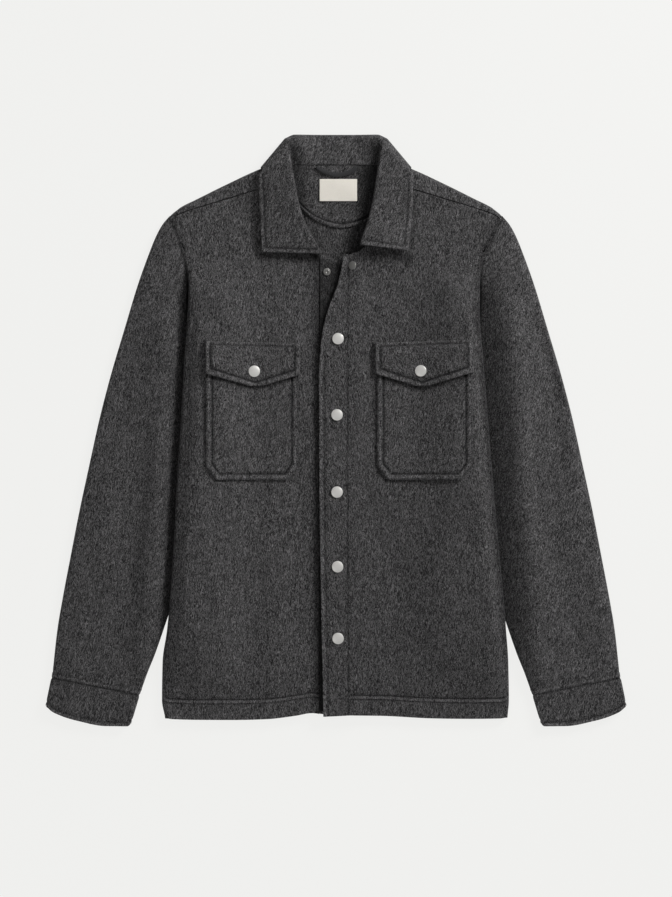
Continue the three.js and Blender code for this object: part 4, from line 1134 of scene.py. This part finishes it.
def leaf_swell(side, x, y):
    """The leaf lifts a little towards its point and waves along its edge."""
    tip = np.exp(-((np.hypot(np.abs(x) - 92, y - 236) / 26) ** 2))
    return 0.9 * tip + 0.5 * np.sin(y / 17 + side) * smooth((np.abs(x) - 60) / 30)


def build_leaf(side):
    table = LEAVES[side]
    names = ("out_x", "out_y", "roll_x", "roll_y", "stand")
    rows = np.concatenate([np.linspace(0, 4, 60), np.linspace(4, 6, 24)[1:]])
    lines = []
    for row in rows:
        if row > 4:
            values = [float(np.interp(row, table["row"], table[name])) for name in names]
        else:
            values = [float(read_table(table, "row", name, row)) for name in names]
        out_x, out_y, roll_x, roll_y, stand = values
        out, roll = np.array((side * out_x, out_y)), np.array((side * roll_x, roll_y))
        inward = (roll - out) / np.linalg.norm(roll - out)
        start = roll - inward * ROLL_OUTER
        flat = mix(out, start, np.linspace(0, 1, 40)[:, None])
        top = leaf_middle(flat[:, 0], flat[:, 1]) + leaf_swell(side, flat[:, 0], flat[:, 1])
        line = [np.column_stack([flat, top])]
        turn = np.linspace(0, np.pi, 9)[1:]
        bent = start + inward * (ROLL_RADIUS * np.sin(turn))[:, None]
        line.append(np.column_stack([bent, top[-1] - ROLL_RADIUS * (1 - np.cos(turn))]))
        under = start - inward * (stand * np.linspace(0, 1, 8)[1:])[:, None]
        low = np.maximum(top[-1] - 2 * ROLL_RADIUS, collar_low(under[:, 0], under[:, 1]) + COLLAR_WALL / 2)
        line.append(np.column_stack([under, low]))
        lines.append(np.concatenate(line))
    return cloth_mesh(f"leaf{side}", np.array(lines), COLLAR_WALL / 2, COLLAR_WALL / 2, rim=0)


def build_shoulder_turn(side):
    top = float(leaf_middle(side * 90.0, 345.0))
    radius = (top - FALL_MIDDLE) / 2
    along = (DIAGONAL_HIGH - DIAGONAL_LOW) / np.linalg.norm(DIAGONAL_HIGH - DIAGONAL_LOW)
    outward = np.array((along[1], -along[0]))
    outward = outward if outward[0] > 0 else -outward
    turn = np.linspace(-np.pi / 2, np.pi / 2, 17)
    across = np.concatenate([[-9], radius * np.cos(turn), [-5]])
    height = np.concatenate([[FALL_MIDDLE], FALL_MIDDLE + radius + radius * np.sin(turn), [top]])
    lines = []
    for part in np.linspace(0.08, 1.06, 34):
        centre = mix(DIAGONAL_LOW, DIAGONAL_HIGH, part) - outward * (radius + COLLAR_WALL / 2)
        flat = (centre + outward * across[:, None]) * (side, 1)
        lines.append(np.column_stack([flat, height]))
    return cloth_mesh(f"turn{side}", np.array(lines), COLLAR_WALL / 2, COLLAR_WALL / 2, rim=0)


def build_back_fall():
    x = np.linspace(-94.5, 94.5, 90)
    low = 328 + 2.5 * smooth((np.abs(x) - 30) / 64)
    high = np.minimum(374, mix(331.6, 371.6, (94.5 - np.abs(x)) / 34))
    y = np.array([mix(low, high, part) for part in np.linspace(0, 1, 24)])
    x = np.broadcast_to(x, y.shape)
    grid = np.stack([x, y, np.full(x.shape, FALL_MIDDLE)], -1)
    return cloth_mesh("fall", grid, FALL_MIDDLE, FALL_MIDDLE, rim=0)


def build_back_stand():
    corner = float(collar_low(-60.0, 350.0)) + COLLAR_WALL / 2
    lines = []
    for x in np.linspace(-62.5, 62.5, 72):
        distance = abs(x)
        middle = mix(NECK_LIFT + COLLAR_WALL / 2, corner, float(smooth((distance - 22) / 34)))
        radius = (middle - FALL_MIDDLE) / 2
        edge = COLLAR_TOP - 3.4 * float(smooth((distance - 54) / 10))
        axis = edge - radius - COLLAR_WALL / 2
        turn = np.linspace(0, np.pi, 13)
        down = np.linspace(axis, NECK_SEAM - 1, 12)[1:]
        y = np.concatenate([[axis - 10], axis + radius * np.sin(turn), down])
        foot = smooth(np.linspace(0, 1, 12)[1:])
        bend = FALL_MIDDLE + radius * (1 - np.cos(turn))
        z = np.concatenate([[FALL_MIDDLE], bend, mix(middle, NECK_FOOT, foot)])
        lines.append(np.column_stack([np.full(len(y), x), y, z]))
    return cloth_mesh("stand", np.array(lines), COLLAR_WALL / 2, COLLAR_WALL / 2, rim=0)


def mesh_after_modifiers(piece):
    ready = piece.evaluated_get(bpy.context.evaluated_depsgraph_get())
    made = bpy.data.meshes.new_from_object(ready)
    piece.modifiers.clear()
    piece.data = made
    return piece


def leaf_stitch_line(side, inset=LEAF_STITCH):
    table = LEAVES[side]
    rows = np.linspace(0.28, 3.9, 24)
    out_x = read_table(table, "row", "out_x", rows) - inset
    out_y = read_table(table, "row", "out_y", rows)
    bottom = np.linspace(0, 1, 14)[::-1]
    first_x, first_y = out_x[0], table["out_y"][0] + inset
    end_x, end_y = table["roll_x"][0] + 8, table["roll_y"][0] + inset
    lower = [(side * mix(first_x, end_x, part), mix(first_y, end_y, part)) for part in bottom]
    return lower + [(side * x, y) for x, y in zip(out_x[1:], out_y[1:])]


def build_collar():
    parts = [build_back_stand(), build_back_fall()]
    for side in (-1, 1):
        parts += [build_leaf(side), build_shoulder_turn(side)]
    cuts["collar_cloth"] = (*COLLAR_CUT, sum(cuts[part.name][2] for part in parts))
    shape = bmesh.new()
    for part in parts:
        shape.from_mesh(part.data)
        bpy.data.objects.remove(part)
    mesh = bpy.data.meshes.new("collar_cloth")
    shape.to_mesh(mesh)
    shape.free()
    collar = bpy.data.objects.new("collar_cloth", mesh)
    bpy.context.scene.collection.objects.link(collar)
    remesh = collar.modifiers.new("even", "REMESH")
    remesh.mode = "VOXEL"
    remesh.voxel_size = COLLAR_VOXEL
    relax = collar.modifiers.new("soften", "SMOOTH")
    relax.factor = 0.5
    relax.iterations = 5
    mesh_after_modifiers(collar)
    count = len(collar.data.vertices)
    places = np.empty(count * 3)
    collar.data.vertices.foreach_get("co", places)
    places = places.reshape(-1, 3) / MM
    normals = np.empty(count * 3)
    collar.data.vertices.foreach_get("normal", normals)
    facing_up = normals.reshape(-1, 3)[:, 2] > 0.4
    reach, height = np.abs(places[:, 0]), places[:, 1]
    # Painted shading on the collar: the left leaf a little darker, painted shade behind the roll inside the
    # neck, darker stitch lines, and a painted highlight near the leaf edges
    painted_shading = np.where((places[:, 0] < -60 + 60 * smooth((300 - height) / 60)) & (height < 345), -0.14, 0.0)
    roll_line = read_table(ROLL_LINE, "y", "x", height)
    roll_shadow = smooth((reach - roll_line + 26) / 24) * smooth((roll_line + 1.5 - reach) / 3)
    painted_shading -= 0.6 * roll_shadow * smooth((height - 325) / 20) * smooth((382 - height) / 12)
    for side in (-1, 1):
        line = leaf_stitch_line(side)
        off, along = line_distance(places[:, 0], places[:, 1], line)
        over_middle = places[:, 2] > leaf_middle(places[:, 0], places[:, 1])
        on_leaf = facing_up & over_middle & (side * places[:, 0] > 0)
        dent = 0.8 * STITCH_GROOVE * groove(off, 1.1) - 0.15 * np.sin(along / 2.4) * np.exp(-((off / 4) ** 2))
        places[:, 2] -= np.where(on_leaf, dent, 0)
        edge_off, _ = line_distance(places[:, 0], places[:, 1], leaf_stitch_line(side, 2.6))
        lined = 0.7 * GROOVE_NAP_AND_SHADE * groove(off, 1.1) + PAINTED_RIDGE_HIGHLIGHT * groove(edge_off, 1.8)
        painted_shading += np.where(on_leaf, lined, 0)
        run = walk(line, 4.0)
        run_z = leaf_middle(run[:, 0], run[:, 1]) + COLLAR_WALL / 2 + leaf_swell(side, run[:, 0], run[:, 1])
        stitch_runs.append(np.column_stack([run, run_z - STITCH_GROOVE + 0.1]))
    places[:, 2] = np.maximum(places[:, 2], 0)
    collar.data.vertices.foreach_set("co", (places * MM).ravel())
    stale = collar.data.attributes.get("painted_light_and_pressed_seams")
    if stale:
        collar.data.attributes.remove(stale)
    shade_points(collar.data, painted_shading)
    collar.data.update()
    for face in collar.data.polygons:
        face.use_smooth = True
    return collar


collar_wool = wool_material("charcoal wool, collar", 1.0, 0.35)
declare_cloth(build_collar(), collar_wool, "collar", flat=COLLAR_CUT)

# Neck facing, label and hanger loop
# Inside the back neck a half-moon of plain cloth backs the neck seam, edged with a stitched ridge.
# A bare woven patch is sewn on it, and a narrow folded loop hangs from the seam above.
FACING_WALL = 1.6
FACING_REST = 0.6
FACING_EDGE = {"x": (-62, -44, -20, 6, 38, 60), "y": (312, 286.7, 270, 263.3, 271, 300)}
LABEL_LEFT, LABEL_RIGHT, LABEL_LOW, LABEL_HIGH = -21.3, 27.3, 297.7, 326.2
LABEL_WALL = 0.8
LOOP_HALF, LOOP_CENTRE, LOOP_WIDTH, LOOP_WALL = 26, 1.3, 6, 1.2
LOOP_CUT = (LEAST_SHEET_SIDE, 0.056)


def facing_top(x, y):
    return back_top(x, y) + FACING_REST + FACING_WALL


def build_facing():
    x = np.linspace(-61, 61, 82)
    low = read_table(FACING_EDGE, "x", "y", x)
    y = np.array([mix(low, NECK_SEAM + 2.2, part) for part in np.linspace(0, 1, 60) ** 1.25])
    x = np.broadcast_to(x, y.shape)
    edge = y - low
    ridge = 0.8 * np.exp(-(((edge - 2.6) / 1.7) ** 2)) - 0.5 * groove(edge - 5.6, 1.0)
    sink = 1.3 * smooth((y - NECK_SEAM + 4) / 6)
    grid = np.stack([x, y, facing_top(x, y) - FACING_WALL / 2 - sink], -1)
    run_x = np.linspace(-50, 50, 40)
    run_y = read_table(FACING_EDGE, "x", "y", run_x) + 5.6
    stitch_runs.append(np.column_stack([run_x, run_y, facing_top(run_x, run_y) - 0.3]))
    # Stitch groove darker, painted highlight on the edge ridge, and painted shade on the facing's outer parts
    # under the collar's rolls, deeper on the left front's side
    painted_shading = GROOVE_NAP_AND_SHADE * groove(edge - 5.6, 1.0) + PAINTED_RIDGE_HIGHLIGHT * groove(edge - 2.6, 1.7)
    painted_shading = painted_shading - np.where(x < 0, 0.5, 0.75) * smooth((np.abs(x) - np.where(x < 0, 24, 14)) / 26)
    walls = (FACING_WALL / 2, FACING_WALL / 2 + ridge)
    return cloth_mesh("neck_facing_cloth", grid, *walls, rim=0.5, shade=painted_shading)


def build_label():
    x, y = np.meshgrid(np.linspace(LABEL_LEFT, LABEL_RIGHT, 40), np.linspace(LABEL_LOW, LABEL_HIGH, 26))
    wave = 0.25 * np.sin(x / 9 + 0.5) * np.sin(y / 7)
    z = facing_top(x, y) + REST + 0.15 + LABEL_WALL / 2 + wave + 0.25
    return cloth_mesh("neck_label_cloth", np.stack([x, y, z], -1), LABEL_WALL / 2, LABEL_WALL / 2, rim=0.25)


def build_loop():
    part = np.linspace(0, 1, 48)
    across = np.linspace(-0.5, 0.5, 9)
    x = mix(-LOOP_HALF, LOOP_HALF, part)[:, None] + LOOP_CENTRE + 0 * across
    sag = 9 * (1 - ((x - LOOP_CENTRE) / LOOP_HALF) ** 2)
    y = NECK_SEAM - 4.5 - sag + LOOP_WIDTH * across
    round_over = 0.9 * np.cos(across * np.pi)
    z = facing_top(x, y) + REST + 0.5 + LOOP_WALL / 2 + round_over
    return cloth_mesh("hanger_loop_cloth", np.stack([x, y, z], -1), LOOP_WALL / 2, LOOP_WALL / 2, rim=0.3)


def weave_material(name, base, thread, scale, bump):
    """A plain weave: two sets of threads crossing, on the piece's own coordinates."""
    material, nodes, links, shader = new_material(name)
    place = nodes.new("ShaderNodeTexCoord")
    bands = []
    for direction in ("X", "Y"):
        wave = nodes.new("ShaderNodeTexWave")
        wave.wave_type = "BANDS"
        wave.bands_direction = direction
        wave.inputs["Scale"].default_value = scale
        wave.inputs["Distortion"].default_value = 0.6
        links.new(place.outputs["Object"], wave.inputs["Vector"])
        bands.append(wave.outputs["Fac"])
    crossed = nodes.new("ShaderNodeMath")
    crossed.operation = "MAXIMUM"
    links.new(bands[0], crossed.inputs[0])
    links.new(bands[1], crossed.inputs[1])
    colour = nodes.new("ShaderNodeMix")
    colour.data_type = "RGBA"
    colour.inputs["A"].default_value = (*base, 1)
    colour.inputs["B"].default_value = (*thread, 1)
    links.new(crossed.outputs[0], colour.inputs["Factor"])
    links.new(colour.outputs["Result"], shader.inputs["Base Color"])
    relief = nodes.new("ShaderNodeBump")
    relief.inputs["Strength"].default_value = bump
    relief.inputs["Distance"].default_value = 0.0003
    links.new(crossed.outputs[0], relief.inputs["Height"])
    links.new(relief.outputs["Normal"], shader.inputs["Normal"])
    shader.inputs["Roughness"].default_value = 0.85
    shader.inputs["Specular IOR Level"].default_value = 0.2
    return material


facing_wool = wool_material("facing wool", 0.92, 0.4, 0.35)
loop_weave = weave_material("loop cloth", (0.02, 0.02, 0.021), (0.05, 0.05, 0.052), 900, 0.5)
label_weave = weave_material("bare woven label", (0.90, 0.835, 0.74), (1.0, 0.96, 0.87), 700, 0.3)
declare_cloth(build_facing(), facing_wool, "neck_facing")
declare_cloth(build_label(), label_weave, "neck_label")
declare_cloth(build_loop(), loop_weave, "hanger_loop", flat=LOOP_CUT)

# Sewing thread
# Dark matt thread. Every topstitched edge has a row of stitches through all its layers, about three to
# the centimetre, sunk in the groove that they pull.
STITCH_PITCH = 3.3
STITCH_LENGTH = 2.5
THREAD_RADIUS = 0.3


def build_stitch_tree():
    tree = bpy.data.node_groups.new("Row Of Stitches", "GeometryNodeTree")
    face = tree.interface
    face.new_socket("Geometry", in_out="INPUT", socket_type="NodeSocketGeometry")
    measures = (("Pitch", STITCH_PITCH), ("Stitch Length", STITCH_LENGTH), ("Thread Radius", THREAD_RADIUS))
    for name, value in measures:
        face.new_socket(name, in_out="INPUT", socket_type="NodeSocketFloat").default_value = value * MM
    face.new_socket("Thread", in_out="INPUT", socket_type="NodeSocketMaterial")
    face.new_socket("Geometry", in_out="OUTPUT", socket_type="NodeSocketGeometry")
    nodes, links = tree.nodes, tree.links
    given = nodes.new("NodeGroupInput")
    made = nodes.new("NodeGroupOutput")
    path = nodes.new("GeometryNodeMeshToCurve")
    even = nodes.new("GeometryNodeResampleCurve")
    even.mode = "LENGTH"
    tangent = nodes.new("GeometryNodeInputTangent")
    align = nodes.new("FunctionNodeAlignRotationToVector")
    align.axis = "Z"
    bead = nodes.new("GeometryNodeMeshUVSphere")
    bead.inputs["Segments"].default_value = 6
    bead.inputs["Rings"].default_value = 4
    bead.inputs["Radius"].default_value = 1.0
    half = nodes.new("ShaderNodeMath")
    half.operation = "MULTIPLY"
    half.inputs[1].default_value = 0.5
    size = nodes.new("ShaderNodeCombineXYZ")
    place = nodes.new("GeometryNodeInstanceOnPoints")
    real = nodes.new("GeometryNodeRealizeInstances")
    finish = nodes.new("GeometryNodeSetMaterial")
    links.new(given.outputs["Geometry"], path.inputs["Mesh"])
    links.new(path.outputs["Curve"], even.inputs["Curve"])
    links.new(given.outputs["Pitch"], even.inputs["Length"])
    links.new(tangent.outputs["Tangent"], align.inputs["Vector"])
    links.new(given.outputs["Stitch Length"], half.inputs[0])
    links.new(given.outputs["Thread Radius"], size.inputs["X"])
    links.new(given.outputs["Thread Radius"], size.inputs["Y"])
    links.new(half.outputs[0], size.inputs["Z"])
    links.new(even.outputs["Curve"], place.inputs["Points"])
    links.new(bead.outputs["Mesh"], place.inputs["Instance"])
    links.new(align.outputs["Rotation"], place.inputs["Rotation"])
    links.new(size.outputs["Vector"], place.inputs["Scale"])
    links.new(place.outputs["Instances"], real.inputs["Geometry"])
    links.new(real.outputs["Geometry"], finish.inputs["Geometry"])
    links.new(given.outputs["Thread"], finish.inputs["Material"])
    links.new(finish.outputs["Geometry"], made.inputs["Geometry"])
    return tree


def set_input(modifier, name, value):
    for item in modifier.node_group.interface.items_tree:
        if item.item_type == "SOCKET" and item.in_out == "INPUT" and item.name == name:
            modifier[item.identifier] = value


thread_weave = weave_material("dark sewing thread", (0.010, 0.010, 0.011), (0.03, 0.03, 0.032), 2600, 0.4)
points, edges = [], []
for run in stitch_runs:
    first = len(points)
    points += (run * MM).tolist()
    edges += [(first + n, first + n + 1) for n in range(len(run) - 1)]
stitch_mesh = bpy.data.meshes.new("stitches")
stitch_mesh.from_pydata(points, edges, [])
stitches = bpy.data.objects.new("stitches", stitch_mesh)
bpy.context.scene.collection.objects.link(stitches)
stitching = stitches.modifiers.new("rows", "NODES")
stitching.node_group = build_stitch_tree()
set_input(stitching, "Pitch", STITCH_PITCH * MM)
set_input(stitching, "Stitch Length", STITCH_LENGTH * MM)
set_input(stitching, "Thread Radius", THREAD_RADIUS * MM)
set_input(stitching, "Thread", thread_weave)
mesh_after_modifiers(stitches)
for face in stitches.data.polygons:
    face.use_smooth = True
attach(stitches, "root")

# Snaps
# Press snaps of satin nickel: plain slightly domed caps with a rolled rim down the placket and on the
# flaps, a smaller one that leans under the collar, and the ring stud of the top snap on the stand.
CAP_RADIUS, CAP_HEIGHT = 7.5, 2.2
SMALL_CAP_RADIUS = 5.6
STUD_RADIUS, STUD_HEIGHT = 4.7, 2.0
CAP_PROFILE = (
    (0.90, 0.0), (0.985, 0.14), (1.0, 0.36), (0.985, 0.56), (0.94, 0.72),
    (0.89, 0.74), (0.86, 0.70), (0.8, 0.78), (0.6, 0.9), (0.3, 0.98),
)
STUD_PROFILE = (
    (1.0, 0.0), (1.0, 0.3), (0.93, 0.45), (0.8, 0.42), (0.7, 0.36), (0.62, 0.5),
    (0.56, 0.9), (0.5, 1.0), (0.4, 0.98), (0.34, 0.8), (0.3, 0.35),
)
TURN_STEPS = 48


def turned_piece(name, profile, radius, height, centre_height):
    """A lathe-turned closed piece on z = 0, its top closed at a point on the axis."""
    ring = np.linspace(0, 2 * np.pi, TURN_STEPS, endpoint=False)
    points = [(0, 0, 0)]
    for across, up in profile:
        points += [(radius * across * math.cos(a), radius * across * math.sin(a), height * up) for a in ring]
    points.append((0, 0, height * centre_height))
    faces = []
    for step in range(TURN_STEPS):
        after = (step + 1) % TURN_STEPS
        faces.append((0, 1 + after, 1 + step))
        for level in range(len(profile) - 1):
            low, high = 1 + level * TURN_STEPS, 1 + (level + 1) * TURN_STEPS
            faces.append((low + step, low + after, high + after, high + step))
        last = 1 + (len(profile) - 1) * TURN_STEPS
        faces.append((last + step, last + after, len(points) - 1))
    mesh = bpy.data.meshes.new(name)
    mesh.from_pydata([tuple(value * MM for value in point) for point in points], [], faces)
    for face in mesh.polygons:
        face.use_smooth = True
    return mesh


def satin_nickel(name, tone):
    material, nodes, links, shader = new_material(name)
    place = nodes.new("ShaderNodeTexCoord")
    grain = nodes.new("ShaderNodeTexNoise")
    grain.inputs["Scale"].default_value = 1400
    grain.inputs["Detail"].default_value = 4
    links.new(place.outputs["Object"], grain.inputs["Vector"])
    rough = nodes.new("ShaderNodeMapRange")
    rough.inputs["To Min"].default_value = 0.34
    rough.inputs["To Max"].default_value = 0.5
    links.new(grain.outputs["Fac"], rough.inputs["Value"])
    links.new(rough.outputs["Result"], shader.inputs["Roughness"])
    tint = nodes.new("ShaderNodeMix")
    tint.data_type = "RGBA"
    tint.inputs["A"].default_value = (0.86 * tone, 0.84 * tone, 0.80 * tone, 1)
    tint.inputs["B"].default_value = (0.97 * tone, 0.96 * tone, 0.93 * tone, 1)
    links.new(grain.outputs["Fac"], tint.inputs["Factor"])
    links.new(tint.outputs["Result"], shader.inputs["Base Color"])
    relief = nodes.new("ShaderNodeBump")
    relief.inputs["Strength"].default_value = 0.12
    relief.inputs["Distance"].default_value = 0.0002
    links.new(grain.outputs["Fac"], relief.inputs["Height"])
    links.new(relief.outputs["Normal"], shader.inputs["Normal"])
    shader.inputs["Metallic"].default_value = 0.6
    return material


nickel = satin_nickel("satin nickel", 1.0)
# A copy of the satin nickel at three tenths of its tone, as painted shade for the snaps that sit under the
# collar and on the stand beneath the placket's edge
shaded_nickel = satin_nickel("shaded nickel", 0.3)


def fasten(node, mesh, place, lean=(0.0, 0.0), metal=nickel):
    """Sets a snap at its place in millimetres, leaning about X and Y, in the node's stead."""
    shape = bmesh.new()
    shape.from_mesh(mesh)
    leaning = Vector((math.sin(lean[1]), -math.sin(lean[0]), 1))
    turn = Vector((0, 0, 1)).rotation_difference(leaning).to_matrix()
    bmesh.ops.rotate(shape, cent=(0, 0, 0), matrix=turn, verts=shape.verts)
    bmesh.ops.translate(shape, vec=Vector(place) * MM, verts=shape.verts)
    bmesh.ops.recalc_face_normals(shape, faces=shape.faces)
    made = bpy.data.meshes.new(f"{node}_metal")
    shape.to_mesh(made)
    shape.free()
    made.materials.append(metal)
    piece = bpy.data.objects.new(f"{node}_metal", made)
    bpy.context.scene.collection.objects.link(piece)
    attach(piece, "root")
    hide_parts(node)


cap_mesh = turned_piece("cap", CAP_PROFILE, CAP_RADIUS, CAP_HEIGHT, 1.0)
small_cap_mesh = turned_piece("small cap", CAP_PROFILE, SMALL_CAP_RADIUS, CAP_HEIGHT, 1.0)
stud_mesh = turned_piece("stud", STUD_PROFILE, STUD_RADIUS, STUD_HEIGHT, 0.3)
for order, (x, y) in enumerate(SNAPS):
    fasten(f"snap_{order + 1}", cap_mesh, (x, y, PLACKET_TOP - 0.35), (0.02 * (order - 2), 0.03))
for flap in FLAPS:
    x, y = FLAP_SNAPS[flap["name"]]
    slope = (flap_low(abs(x) + 7.0, y) - flap_low(abs(x) - 7.0, y)) / 14 * flap["side"]
    place = (x, y, float(flap_surface(flap, x, y)) + 0.15)
    fasten(flap["name"].replace("flap", "snap_flap"), cap_mesh, place, (0, -float(slope)))
fasten("snap_collar", small_cap_mesh, (21.6, 213.9, PLACKET_TOP + 1.8), (-0.15, -0.75), shaded_nickel)
fasten("stud", stud_mesh, (-11.7, 206, WALL + LAYER_GAP + BAND_WALL + 0.3), (0.05, 0.15), shaded_nickel)
